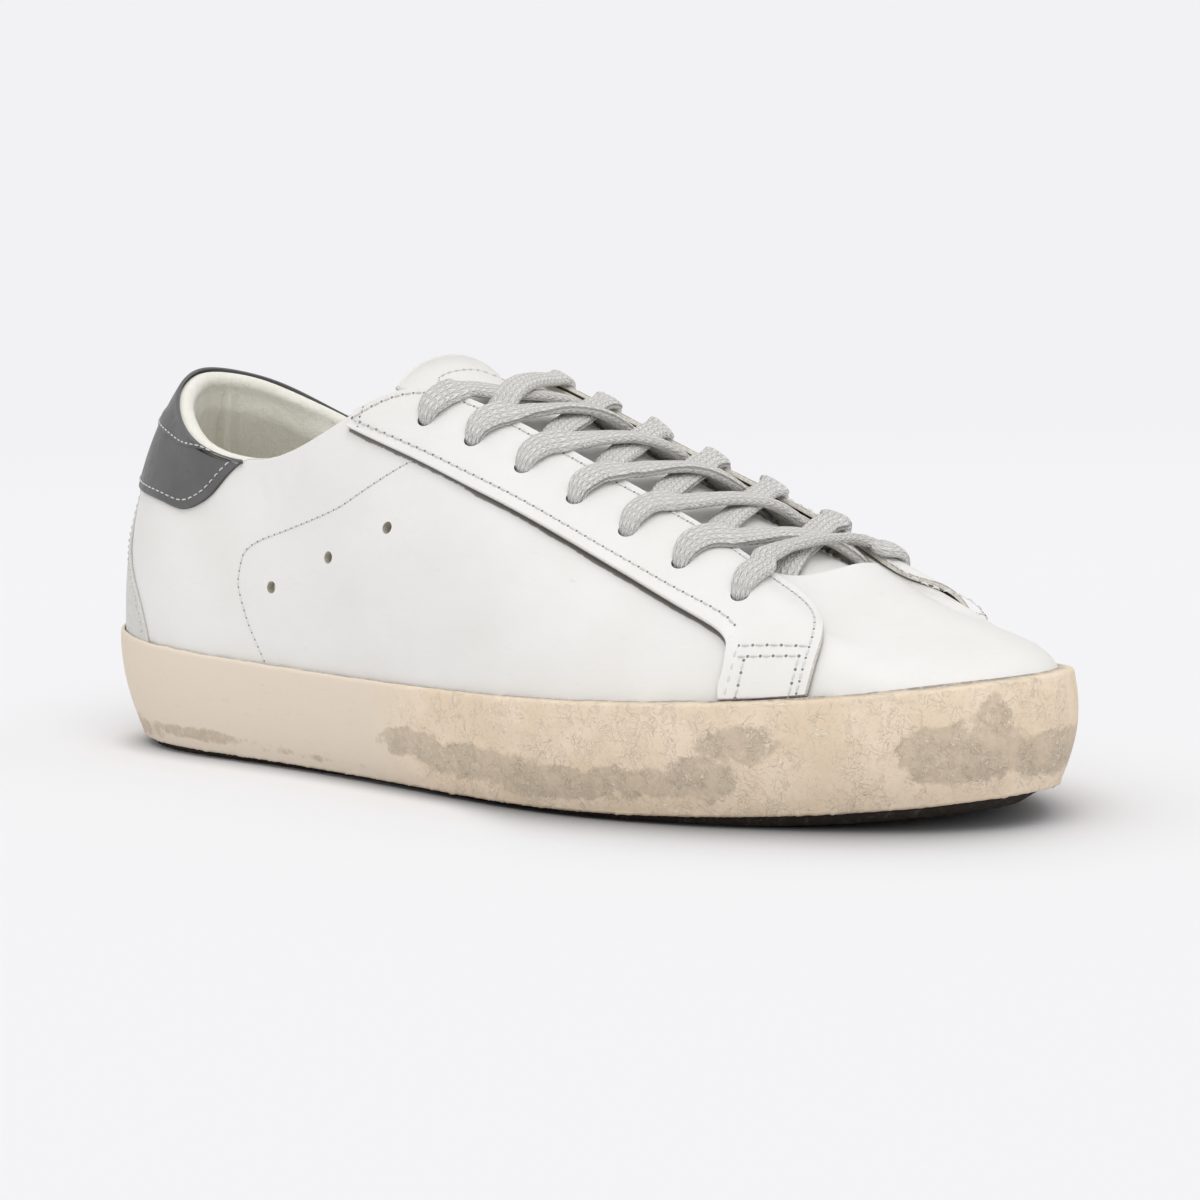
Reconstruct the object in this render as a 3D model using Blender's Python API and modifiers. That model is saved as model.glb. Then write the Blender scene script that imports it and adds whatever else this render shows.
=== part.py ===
"""A worn low-top court sneaker for the right foot, as separate named pieces.

The shoe is laid out in millimetres from the back of the heel: x runs to the toe, y to the shoe's own
left (the inner, medial side), z up from the floor. Everything is worked out from the tables below:
the outline of the sole, the heights of its side, and the ribs of the upper, which run from the sole
up to the top edge all round the shoe. A place on the upper is given as (around, up): around goes
from 0 at the back of the heel along the outer side to 0.5 at the toe tip and back along the inner
side to 1, and up goes from 0 at the rim of the sole to 1 at the top edge.
"""

import math

import bmesh
import bpy
import numpy as np
from mathutils import Matrix, Vector
from mathutils.bvhtree import BVHTree

MM = 0.001
LENGTH = 298.0
GAP = 0.35

# Sole
FLOOR_THICKNESS = 9.0
CUP_WALL = 2.9
INSOLE_THICKNESS = 4.0
TREAD_INSET = 2.6
TREAD_SEAT = 0.8
HEEL_BEVEL = 14.0
HEEL_BEVEL_RISE = 2.6
ARCH_START, ARCH_END, ARCH_RISE = 92.0, 152.0, 1.0
SPRING_START, SPRING_RISE = 226.0, 6.0
GROOVE_WIDTH, GROOVE_DEPTH, GROOVE_STEP, GROOVE_MARGIN, GROOVE_SWEEP = 2.6, 1.2, 8.6, 6.0, 5.0
GROOVE_RANGES = ((12.0, 84.0), (158.0, 286.0))

# Upper
UPPER_WALL = 2.2
OVERLAY_THICKNESS = 1.4
BACKSTAY_THICKNESS = 0.9
OVERLAY_LIFT = 0.6
EYELET_DIAMETER = 4.6
VENT_DIAMETER = 3.2
LACE_WIDTH, LACE_THICKNESS = 8.0, 2.6

# The rim of the sole seen from above.
OUTLINE = (
    # place, x, y
    ("heel back", 0.0, -1.5),
    ("heel corner, outer", 6.5, -26.0),
    ("heel side, outer", 28.5, -39.5),
    ("heel front, outer", 60.0, -42.0),
    ("waist, outer", 100.0, -44.0),
    ("fifth joint rear", 145.0, -49.5),
    ("fifth joint", 185.0, -52.5),
    ("little toe", 225.0, -46.0),
    ("toes, outer", 262.0, -33.0),
    ("toe corner, outer", 289.0, -16.5),
    ("toe tip", LENGTH, 3.0),
    ("toe corner, inner", 289.5, 20.5),
    ("big toe", 271.5, 35.5),
    ("first joint front", 240.0, 47.5),
    ("first joint", 205.0, 49.5),
    ("first joint rear", 170.0, 43.0),
    ("waist, inner", 130.0, 36.5),
    ("heel front, inner", 85.0, 37.0),
    ("heel side, inner", 40.0, 38.0),
    ("heel corner, inner", 8.0, 24.0),
)

# The side of the sole along its length.
SIDEWALL = (
    # place, x, rim_height, lower_edge_height, lower_edge_inset, bulge
    ("heel", 0.0, 32.0, 4.0, 6.0, 0.6),
    ("heel front", 60.0, 28.0, 3.5, 3.5, 0.5),
    ("waist", 130.0, 27.0, 2.0, 2.6, 0.5),
    ("ball", 200.0, 28.5, 2.0, 1.5, 0.7),
    ("toes", 260.0, 32.0, 4.6, 2.0, 1.2),
    ("toe", LENGTH, 36.5, 8.7, 4.2, 1.8),
)

# The ribs of the upper, one row for the outer and the inner side alike. Lean and rise shape the foot
# of the rib, slope and reach its upper end.
RIBS = (
    # place, around, top_x, top_half_width, top_z, lean, rise, slope, reach
    ("heel back", 0.000, 18.3, 0.0, 99.4, 1.2, 35.0, 41.0, 27.5),
    ("heel corner", 0.035, 21.6, 10.3, 97.8, 2.2, 34.0, 52.0, 25.0),
    ("heel side", 0.085, 29.7, 21.4, 92.7, 3.5, 34.0, 60.5, 28.0),
    ("collar rear", 0.140, 45.5, 30.2, 83.5, 1.5, 30.0, 78.0, 18.0),
    ("collar dip", 0.190, 65.0, 29.8, 79.1, 1.5, 30.0, 74.0, 16.0),
    ("collar rise", 0.245, 88.0, 30.0, 85.5, 1.5, 32.0, 66.0, 18.0),
    ("eyestay rear", 0.280, 102.5, 26.0, 94.0, 1.5, 34.0, 56.0, 20.0),
    ("eyestay top", 0.312, 118.0, 20.0, 98.0, 1.5, 36.0, 44.0, 22.0),
    ("throat upper", 0.345, 142.0, 17.5, 90.5, 1.5, 34.0, 36.0, 22.0),
    ("throat middle", 0.380, 172.5, 18.0, 78.0, 1.5, 31.0, 32.0, 22.0),
    ("throat lower", 0.415, 203.0, 19.5, 65.5, 5.9, 27.0, 26.0, 19.5),
    ("throat corner", 0.455, 224.5, 17.0, 56.5, 4.6, 32.0, 35.0, 36.0),
    ("throat front", 0.500, 233.5, 0.0, 58.0, 6.5, 34.5, 28.0, 43.5),
)

# How far the middle line of the last bends to the inner side.
BEND = (
    # place, x, y
    ("heel", 0.0, -1.5),
    ("collar", 60.0, -2.0),
    ("instep", 112.0, 0.5),
    ("throat", 160.0, 5.5),
    ("vamp", 228.0, 9.5),
)

# The edges of the eyestay, from its rear end to the foot of its front leg: each row is a line across it.
EYESTAY = (
    # place, upper_around, upper_up, lower_around, lower_up
    ("rear end", 0.2740, 0.990, 0.2680, 0.940),
    ("top corner", 0.2920, 0.990, 0.2834, 0.786),
    ("seventh eyelet", 0.3120, 0.990, 0.3038, 0.627),
    ("sixth eyelet", 0.3320, 0.990, 0.3193, 0.545),
    ("fifth eyelet", 0.3520, 0.990, 0.3355, 0.485),
    ("fourth eyelet", 0.3720, 0.990, 0.3511, 0.430),
    ("third eyelet", 0.3950, 0.990, 0.3659, 0.372),
    ("second eyelet", 0.4180, 0.990, 0.3784, 0.312),
    ("first eyelet", 0.4390, 0.970, 0.3890, 0.255),
    ("throat corner", 0.4540, 0.880, 0.3920, 0.205),
    ("front edge", 0.4510, 0.700, 0.3900, 0.160),
    ("leg top", 0.4420, 0.490, 0.3870, 0.110),
    ("leg middle", 0.4330, 0.300, 0.3840, 0.065),
    ("leg low", 0.4240, 0.140, 0.3815, 0.030),
    ("leg foot", 0.4160, 0.012, 0.3800, 0.012),
)

# The dark heel tab, from the middle of the back to its front tip: each row is a line down across it,
# from the seam or the top edge of the collar to its lower edge.
HEEL_TAB = (
    # place, upper_around, lower_around, lower_height
    ("back", 0.000, 0.000, 69.5),
    ("back corner", 0.030, 0.033, 69.3),
    ("side", 0.060, 0.066, 68.4),
    ("low rear", 0.085, 0.090, 66.9),
    ("low front", 0.104, 0.108, 65.4),
    ("rise", 0.121, 0.128, 66.9),
    ("front", 0.137, 0.146, 69.6),
    ("seam end", 0.151, 0.161, 73.1),
    ("front end", 0.168, 0.174, 76.4),
    ("tip", 0.181, 0.183, 78.0),
)
SEAM_HEIGHT, SEAM_GAP = 82.3, 0.8
STRIP_END = 0.143

# Half of the backstay, from the rim of the sole to the heel tab.
BACKSTAY = (
    # place, height, half_around
    ("rim", 30.0, 0.0778),
    ("low", 38.0, 0.0735),
    ("middle", 46.0, 0.0640),
    ("high", 56.0, 0.0460),
    ("top", 66.0, 0.0350),
)

EYELETS = (
    # place, around, up
    ("first", 0.4090, 0.460),
    ("second", 0.3900, 0.540),
    ("third", 0.3735, 0.610),
    ("fourth", 0.3570, 0.665),
    ("fifth", 0.3400, 0.712),
    ("sixth", 0.3230, 0.765),
    ("seventh", 0.3065, 0.840),
)

VENTS = (
    # place, around, up
    ("front", 0.2640, 0.523),
    ("middle", 0.2195, 0.468),
    ("rear", 0.1680, 0.316),
)

# The tongue along its middle line, from under the vamp to its free end.
TONGUE = (
    # place, x, top_z, half_width, edge_drop
    ("front end", 243.0, 49.5, 14.0, 3.0),
    ("under the vamp", 233.0, 54.0, 18.0, 4.0),
    ("throat front", 224.0, 57.5, 21.0, 5.5),
    ("throat lower", 203.0, 65.5, 25.0, 6.5),
    ("throat middle", 172.0, 78.0, 26.0, 6.5),
    ("throat upper", 142.0, 90.5, 26.0, 7.0),
    ("eyestay top", 120.0, 99.0, 19.0, 4.5),
    ("free part", 109.0, 102.8, 18.5, 4.2),
    ("free end", 106.5, 106.8, 19.5, 4.0),
)
TONGUE_THICKNESS = 3.5
TONGUE_CLEARANCE = 1.1
TONGUE_FLOOR = 25.0
TONGUE_ROWS = 17
TONGUE_CORNER = 1.0

UP = np.array((0.0, 0.0, 1.0))


# ---------------------------------------------------------------- curves through the tables


def columns(table):
    """The number columns of a table, one array each, without the names of its rows."""
    return np.array([row[1:] for row in table], float).T


def spline(places, values):
    """A natural cubic spline through values at places; it holds its end values outside them."""
    places = np.asarray(places, float)
    values = np.asarray(values, float)
    count = len(places)
    step = np.diff(places)
    matrix = np.eye(count)
    change = np.zeros_like(values)
    for i in range(1, count - 1):
        matrix[i, i - 1 : i + 2] = step[i - 1], 2 * (step[i - 1] + step[i]), step[i]
        after = (values[i + 1] - values[i]) / step[i]
        before = (values[i] - values[i - 1]) / step[i - 1]
        change[i] = 6 * (after - before)
    bend = np.linalg.solve(matrix, change)

    def at(place):
        place = np.clip(np.asarray(place, float), places[0], places[-1])
        k = np.clip(np.searchsorted(places, place, side="right") - 1, 0, count - 2)
        width = step[k]
        left = (places[k + 1] - place) / width
        right = 1 - left
        if values.ndim > 1:
            left, right, width = left[..., None], right[..., None], width[..., None]
        cubic = (left**3 - left) * bend[k] + (right**3 - right) * bend[k + 1]
        return left * values[k] + right * values[k + 1] + cubic * width**2 / 6

    return at


def loop_spline(places, values):
    """A closed smooth curve of period 1 through values at places."""
    wrap = 4
    places = np.concatenate((places[-wrap:] - 1, places, places[:wrap] + 1))
    values = np.concatenate((values[-wrap:], values, values[:wrap]))
    curve = spline(places, values)
    return lambda place: curve(np.mod(place, 1.0))


def unit(vectors):
    return vectors / np.linalg.norm(vectors, axis=-1)[..., None]


def with_height(flat, height):
    """Points seen from above, given a height."""
    height = np.broadcast_to(height, flat.shape[:-1])
    return np.concatenate((flat, height[..., None]), axis=-1)


# ---------------------------------------------------------------- the outline of the sole


def outline_places():
    """Where each row of OUTLINE lies around the shoe: 0 at the heel, 0.5 at the toe tip."""
    points = columns(OUTLINE).T
    toe = [row[0] for row in OUTLINE].index("toe tip")
    steps = np.linalg.norm(np.roll(points, -1, axis=0) - points, axis=1)
    outer = np.cumsum(steps[:toe]) / steps[:toe].sum()
    inner = np.cumsum(steps[toe:]) / steps[toe:].sum()
    return np.concatenate(((0.0,), outer / 2, 0.5 + inner[:-1] / 2))


rim_at = loop_spline(outline_places(), columns(OUTLINE).T)

SIDE_X, RIM_HEIGHTS, EDGE_HEIGHTS, EDGE_INSETS, BULGES = columns(SIDEWALL)
rim_height = spline(SIDE_X, RIM_HEIGHTS)
edge_height = spline(SIDE_X, EDGE_HEIGHTS)
edge_inset = spline(SIDE_X, EDGE_INSETS)
side_bulge = spline(SIDE_X, BULGES)
bend_at = spline(*columns(BEND))


def outward_at(around):
    """The level direction that points away from the shoe."""
    step = 0.001
    along = unit(rim_at(around + step) - rim_at(around - step))
    return np.stack((along[..., 1], -along[..., 0]), axis=-1)


def inset_rim(around, inset):
    return rim_at(around) - outward_at(around) * np.asarray(inset)[..., None]


def floor_height(x):
    """The top of the sole's floor, which carries the insole."""
    return edge_height(x) + FLOOR_THICKNESS


def ground_height(x):
    """The underside of the tread: flat at the heel and the ball, raised between them and at the ends."""
    heel = HEEL_BEVEL_RISE * np.clip(1 - x / HEEL_BEVEL, 0, 1) ** 2
    arch_part = np.clip((x - ARCH_START) / (ARCH_END - ARCH_START), 0, 1)
    arch = ARCH_RISE * np.sin(math.pi * arch_part) ** 2
    spring = SPRING_RISE * np.clip((x - SPRING_START) / (LENGTH - SPRING_START), 0, 1) ** 1.8
    return heel + arch + spring


# ---------------------------------------------------------------- the outer face of the upper


def rib_curves():
    """The top edge and the shape numbers of the ribs, as closed curves round the shoe."""
    around, top_x, half, top_z, *shape = columns(RIBS)
    mirrored = slice(-2, 0, -1)
    places = np.concatenate((around, 1 - around[mirrored]))
    outer = np.stack((top_x, bend_at(top_x) - half, top_z), axis=-1)
    inner = np.stack((top_x, bend_at(top_x) + half, top_z), axis=-1)
    shape = np.stack(shape, axis=-1)
    top = loop_spline(places, np.concatenate((outer, inner[mirrored])))
    return top, loop_spline(places, np.concatenate((shape, shape[mirrored])))


top_edge, rib_shape = rib_curves()
BLEND_RADIUS = 15.0


def rib_point(around, part):
    """The outer face of the upper at a part of the rib, 0 at the insole and 1 at the top edge."""
    around, part = np.broadcast_arrays(np.asarray(around, float), np.asarray(part, float))
    lean, rise, slope, reach = (rib_shape(around)[..., i, None] for i in range(4))
    outward = outward_at(around)
    foot = inset_rim(around, np.full(around.shape, CUP_WALL))
    foot = with_height(foot, floor_height(foot[..., 0]) + GAP)
    top = top_edge(around)
    away = with_height(unit(outward * BLEND_RADIUS + (foot - top)[..., :2]), 0.0)
    low = foot + with_height(outward, 0.0) * lean + UP * rise
    slope = np.radians(slope)
    high = top + (away * np.cos(slope) - UP * np.sin(slope)) * reach
    p = part[..., None]
    q = 1 - p
    return q**3 * foot + 3 * q * q * p * low + 3 * q * p * p * high + p**3 * top


def rim_part(around, margin=0.5):
    """The part of each rib where it leaves the sole's rim."""
    around = np.atleast_1d(np.asarray(around, float))
    parts = np.linspace(0, 0.6, 61)
    heights = rib_point(around.reshape(-1, 1), parts)[..., 2]
    wanted = rim_height(rim_at(around.reshape(-1))[..., 0]) + margin
    found = [np.interp(want, row, parts) for want, row in zip(wanted, heights)]
    return np.array(found).reshape(around.shape)


def upper_normal(around, part):
    step = 0.002
    low = np.clip(part - step, 0, 1)
    high = np.clip(part + step, 0, 1)
    along = rib_point(around + step, part) - rib_point(around - step, part)
    rise = rib_point(around, high) - rib_point(around, low)
    return unit(np.cross(along, rise))


def upper_at(around, up, lift=0.0):
    """A place on the upper, lifted off its outer face."""
    around, up = np.broadcast_arrays(np.asarray(around, float), np.asarray(up, float))
    rim = rim_part(around)
    part = rim + up * (1 - rim)
    lift = np.broadcast_to(lift, around.shape)[..., None]
    return rib_point(around, part) + upper_normal(around, part) * lift


# ---------------------------------------------------------------- meshes


class Builder:
    """Gathers points and faces in millimetres, then makes the object."""

    def __init__(self):
        self.points = []
        self.faces = []

    def add(self, points):
        """Adds points of any grid shape and returns their numbers in the same shape."""
        points = np.asarray(points, float)
        first = len(self.points)
        self.points.extend(points.reshape(-1, 3))
        return np.arange(first, len(self.points)).reshape(points.shape[:-1])

    def grid(self, numbers, closed=False):
        """Faces over a grid of points; closed joins its last row to its first."""
        if closed:
            numbers = np.concatenate((numbers, numbers[:1]))
        for row, after in zip(numbers[:-1], numbers[1:]):
            for j in range(len(row) - 1):
                self.faces.append((row[j], after[j], after[j + 1], row[j + 1]))

    def fill(self, ring, height, across=4):
        """Closes a ring round the shoe with rows that run from its outer to its inner side."""
        points = np.array([self.points[n] for n in ring])
        half = len(ring) // 2
        parts = np.linspace(0, 1, across + 1)[1:-1, None]
        rows = []
        for i in range(1, half):
            row = points[i] * (1 - parts) + points[-i] * parts
            row[:, 2] = height(row[:, 0])
            rows.append((ring[i], *self.add(row), ring[-i]))
        self.grid(np.array(rows))
        for row, tip in ((rows[0], ring[0]), (rows[-1], ring[half])):
            for j in range(across):
                self.faces.append((tip, row[j], row[j + 1]))

    def mesh(self, name, closed=True):
        mesh = bpy.data.meshes.new(name)
        points = [tuple(point * MM) for point in self.points]
        faces = [tuple(int(n) for n in face) for face in self.faces]
        mesh.from_pydata(points, [], faces)
        if closed:
            work = bmesh.new()
            work.from_mesh(mesh)
            bmesh.ops.recalc_face_normals(work, faces=work.faces)
            work.to_mesh(mesh)
            work.free()
        mesh.shade_smooth()
        return mesh


class Shoe:
    """The collections, materials and root that the pieces hang on."""

    def __init__(self):
        scene = bpy.context.scene
        self.parts = bpy.data.collections.new("court_sneaker")
        self.cutters = bpy.data.collections.new("cutters")
        for collection in (self.parts, self.cutters):
            scene.collection.children.link(collection)
        self.root = bpy.data.objects.new("court_sneaker_root", None)
        self.parts.objects.link(self.root)

    def piece(self, name, mesh, material):
        piece = bpy.data.objects.new(name, mesh)
        piece.parent = self.root
        mesh.materials.append(material)
        self.parts.objects.link(piece)
        return piece

    def cutter(self, name, mesh):
        cutter = bpy.data.objects.new(name, mesh)
        cutter.parent = self.root
        cutter.hide_render = True
        cutter.display_type = "WIRE"
        self.cutters.objects.link(cutter)
        return cutter


def material(name, colour, roughness):
    made = bpy.data.materials.new(name)
    made.use_nodes = True
    shader = made.node_tree.nodes["Principled BSDF"]
    shader.inputs["Base Color"].default_value = (*colour, 1.0)
    shader.inputs["Roughness"].default_value = roughness
    shader.inputs["Metallic"].default_value = 0.0
    made.diffuse_color = (*colour, 1.0)
    return made


def solidify(piece, thickness, outward):
    shell = piece.modifiers.new("thickness", "SOLIDIFY")
    shell.thickness = thickness * MM
    shell.offset = 1.0 if outward else -1.0
    shell.use_even_offset = True


def cut(piece, cutter):
    hole = piece.modifiers.new("cut by " + cutter.name, "BOOLEAN")
    hole.operation = "DIFFERENCE"
    hole.solver = "EXACT"
    hole.object = cutter


# ---------------------------------------------------------------- sole

RING = 80
UPPER_PARTS = (0.0, 0.07, 0.16, 0.28, 0.44, 0.62, 0.82, 1.0)


def ring_places():
    return np.arange(RING) / RING


def make_cup_sole(shoe, finish):
    """The cup: side wall, rim, floor and underside in one solid, round the foot of the upper."""
    around = ring_places()
    rim_x = rim_at(around)[:, 0]
    low, high = edge_height(rim_x), rim_height(rim_x)
    builder = Builder()
    seat = builder.add(with_height(inset_rim(around, edge_inset(rim_x) + 2.0), low + TREAD_SEAT))
    rings = [seat]
    for part in (0.0, 0.12, 0.35, 0.65, 0.9):
        inset = edge_inset(rim_x) * (1 - part) ** 1.7 - side_bulge(rim_x) * math.sin(math.pi * part)
        rings.append(builder.add(with_height(inset_rim(around, inset), low + part * (high - low))))
    rings.append(builder.add(with_height(inset_rim(around, np.full(RING, 0.5)), high)))
    wall_part = rim_part(around, margin=0.0)
    for part in (wall_part, *UPPER_PARTS[2::-1]):
        wall = rib_point(around, part) + upper_normal(around, part) * GAP
        if np.all(part == 0.0):
            wall[:, 2] = floor_height(wall[:, 0])
        rings.append(builder.add(wall))
    builder.grid(np.stack(rings, axis=1), closed=True)
    builder.fill(seat, lambda x: edge_height(x) + TREAD_SEAT)
    builder.fill(rings[-1], floor_height)
    return shoe.piece("cup_sole", builder.mesh("cup_sole"), finish)


def groove_cutter(shoe):
    """Swept grooves across the heel and the ball, which leave the lugs of the tread between them."""
    builder = Builder()
    across = np.linspace(0, 1, 3)
    half_width = np.array((-GROOVE_WIDTH / 2, GROOVE_WIDTH / 2))
    sides = rim_at(np.linspace(0, 0.5, 200)), rim_at(np.linspace(1, 0.5, 200))
    for start, end in GROOVE_RANGES:
        for x in np.arange(start, end, GROOVE_STEP):
            margin = edge_inset(x) + TREAD_INSET + GROOVE_MARGIN
            outer, inner = (np.interp(x, side[:, 0], side[:, 1]) for side in sides)
            y = outer + margin + (inner - outer - 2 * margin) * across
            middle = x + GROOVE_SWEEP * (1 - np.abs(2 * across - 1))
            line = np.stack((middle[:, None] + half_width, np.repeat(y[:, None], 2, axis=1)), -1)
            low = builder.add(with_height(line, -3.0))
            high = builder.add(with_height(line, ground_height(line[..., 0]) + GROOVE_DEPTH))
            builder.grid(np.stack((low[:, 0], low[:, 1], high[:, 1], high[:, 0], low[:, 0]), axis=1))
            for end_row in (0, -1):
                corners = low[end_row, 0], low[end_row, 1], high[end_row, 1], high[end_row, 0]
                builder.faces.append(corners)
    return shoe.cutter("groove_cutter", builder.mesh("groove_cutter"))


def make_outsole(shoe, finish):
    """The tread plate under the cup, flat at the heel and the ball."""
    around = ring_places()
    inset = edge_inset(rim_at(around)[:, 0]) + TREAD_INSET
    builder = Builder()
    top = inset_rim(around, inset)
    low = inset_rim(around, inset + 0.6)

    def seat_height(x):
        return edge_height(x) + TREAD_SEAT - GAP

    top = builder.add(with_height(top, seat_height(top[:, 0])))
    low = builder.add(with_height(low, ground_height(low[:, 0])))
    builder.grid(np.stack((low, top), axis=1), closed=True)
    builder.fill(top, seat_height, across=2)
    builder.fill(low, ground_height, across=2)
    outsole = shoe.piece("outsole", builder.mesh("outsole"), finish)
    cut(outsole, groove_cutter(shoe))
    return outsole


def make_insole(shoe, finish):
    """The insole on the floor of the cup, inside the foot of the upper."""
    around = ring_places()[::2]
    inset = np.full(len(around), CUP_WALL + UPPER_WALL + 2 * GAP)
    flat = inset_rim(around, inset)
    builder = Builder()

    def under(x):
        return floor_height(x) + GAP

    def over(x):
        return floor_height(x) + GAP + INSOLE_THICKNESS

    low = builder.add(with_height(flat, under(flat[:, 0])))
    high = builder.add(with_height(flat, over(flat[:, 0])))
    builder.grid(np.stack((low, high), axis=1), closed=True)
    builder.fill(low, under, across=3)
    builder.fill(high, over, across=3)
    return shoe.piece("insole", builder.mesh("insole"), finish)


# ---------------------------------------------------------------- upper


def hole_cutter(shoe, name, places, diameter, mirrored):
    """Round cutters square to the upper's outer face at each place."""
    work = bmesh.new()
    for _, around, up in places:
        for side in (around, 1 - around) if mirrored else (around,):
            centre = upper_at(side, up)[0]
            out = Vector(upper_at(side, up, 1.0)[0] - centre)
            turn = out.to_track_quat("Z", "Y").to_matrix().to_4x4()
            bmesh.ops.create_cone(
                work,
                cap_ends=True,
                segments=8,
                radius1=diameter / 2 * MM,
                radius2=diameter / 2 * MM,
                depth=9.0 * MM,
                matrix=Matrix.Translation(Vector(centre) * MM) @ turn,
            )
    mesh = bpy.data.meshes.new(name)
    work.to_mesh(mesh)
    work.free()
    return shoe.cutter(name, mesh)


def make_upper(shoe, finish, eyelets, vents):
    """The upper: one shell, open at the collar, the throat and the sole."""
    around = ring_places()
    builder = Builder()
    face = builder.add(rib_point(around[:, None], np.array(UPPER_PARTS)))
    builder.grid(face, closed=True)
    upper = shoe.piece("upper", builder.mesh("upper", closed=False), finish)
    solidify(upper, UPPER_WALL, outward=False)
    cut(upper, eyelets)
    cut(upper, vents)
    return upper


def overlay(shoe, name, high_edge, low_edge, finish, thickness=OVERLAY_THICKNESS, across=3):
    """A piece laid on the upper between two edges, each a row of (around, up) places."""
    parts = np.linspace(0, 1, across + 1)[:, None]
    places = low_edge[:, None] * (1 - parts) + high_edge[:, None] * parts
    builder = Builder()
    builder.grid(builder.add(upper_at(places[..., 0], places[..., 1], OVERLAY_LIFT)))
    piece = shoe.piece(name, builder.mesh(name, closed=False), finish)
    solidify(piece, thickness, outward=True)
    return piece


def edge_lines(table, steps):
    """The two edges of a piece, as smooth lines through the rows of its table."""
    rows = columns(table).T
    places = np.linspace(0, len(rows) - 1, steps)
    smooth = spline(np.arange(len(rows)), rows)(places)
    return smooth[:, :2], smooth[:, 2:]


def make_eyestays(shoe, finish, eyelets):
    """The eyestay on each side of the throat, with its front leg down to the sole."""
    high, low = edge_lines(EYESTAY, steps=26)
    made = []
    for side in ("outer", "inner"):
        if side == "inner":
            high, low = (np.stack((1 - edge[::-1, 0], edge[::-1, 1]), axis=-1) for edge in (high, low))
        eyestay = overlay(shoe, "eyestay_" + side, high, low, finish, across=4)
        cut(eyestay, eyelets)
        made.append(eyestay)
    return made


def both_sides(edge):
    """An edge that starts at the middle of the back, carried on round the other side."""
    other = np.stack((-edge[:0:-1, 0], edge[:0:-1, 1]), axis=-1)
    return np.concatenate((other, edge))


def at_height(around, height):
    """(around, up) places at a height, or just under the top edge where that is lower."""
    around, height = np.broadcast_arrays(around, height)
    ups = np.linspace(0, 0.99, 40)
    heights = upper_at(around[:, None], ups)[..., 2]
    up = [np.interp(wanted, row, ups) for wanted, row in zip(height, heights)]
    return np.stack((around, up), axis=-1)


def make_heel_tab(shoe, finish):
    """The heel tab and, above its seam, the strip that finishes the heel of the collar."""
    rows = columns(HEEL_TAB).T
    smooth = spline(np.arange(len(rows)), rows)(np.linspace(0, len(rows) - 1, 22))
    upper_around, lower_around, lower_height = smooth.T
    seam = at_height(upper_around, SEAM_HEIGHT - SEAM_GAP / 2)
    low = at_height(lower_around, lower_height)
    overlay(shoe, "heel_tab", both_sides(seam), both_sides(low), finish)
    around = np.linspace(0, STRIP_END, 13)
    low = at_height(around, SEAM_HEIGHT + SEAM_GAP / 2)
    top = np.stack((around, np.full(len(around), 0.99)), axis=-1)
    overlay(shoe, "heel_strip", both_sides(top), both_sides(low), finish)


def make_backstay(shoe, finish):
    """The narrow piece up the middle of the heel, from the sole to the heel tab."""
    height, half = columns(BACKSTAY)
    heights = np.linspace(height[0], height[-1], 8)
    half = spline(height, half)(heights)
    outer = at_height(half, heights)
    inner = at_height(-half, heights)
    overlay(shoe, "backstay", inner, outer, finish, thickness=BACKSTAY_THICKNESS, across=12)


# ---------------------------------------------------------------- tongue and laces


def clearance_under(piece):
    """Gives the height just under the lowest face of a piece at each place seen from above."""
    tree = BVHTree.FromObject(piece, bpy.context.evaluated_depsgraph_get())

    def under(point):
        start = Vector((point[0], point[1], TONGUE_FLOOR)) * MM
        hit = tree.ray_cast(start, Vector(UP))[0]
        return hit.z / MM - TONGUE_CLEARANCE if hit else math.inf

    return under


def make_tongue(shoe, finish, upper):
    """The tongue: a bowed sheet that runs under the vamp and the eyestays and stands free at its end."""
    numbers = columns(TONGUE).T
    rows = np.linspace(0, len(TONGUE) - 1, TONGUE_ROWS)
    side = np.linspace(1, -1, 9)
    corner = TONGUE_CORNER * (1 - np.sqrt(1 - 0.9 * side**2))
    rows = rows[:, None] - corner * np.clip(rows[:, None] - rows[-1] + 1, 0, 1)
    x, z, half, drop = np.moveaxis(spline(np.arange(len(numbers)), numbers)(rows), -1, 0)
    points = np.stack((x, bend_at(x) + half * side, z - drop * side**2), axis=-1)
    under = clearance_under(upper)
    for point in points.reshape(-1, 3):
        point[2] = min(point[2], under(point))
    builder = Builder()
    builder.grid(builder.add(points))
    tongue = shoe.piece("tongue", builder.mesh("tongue", closed=False), finish)
    solidify(tongue, TONGUE_THICKNESS, outward=False)
    return tongue


# Half of the section of a lace, as shares of its half width and half thickness.
LACE_SECTION = ((1.0, 0.0), (0.72, 1.0), (-0.72, 1.0), (-1.0, 0.0), (-0.72, -1.0), (0.72, -1.0))
LACE_CLEARANCE = 1.0
LACE_LIFT = OVERLAY_LIFT + OVERLAY_THICKNESS + LACE_CLEARANCE + LACE_THICKNESS / 2
OVER_RISE, UNDER_RISE, BAR_RISE = 3.0, 1.4, 2.0
EDGE_STEP = 3.0


def edge_place(x, outer):
    """Where round the shoe the edge of the throat passes x, on the outer or the inner side."""
    places = np.linspace(0.28, 0.49, 43)
    place = np.interp(x, top_edge(places)[:, 0], places)
    return place if outer else 1 - place


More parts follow.
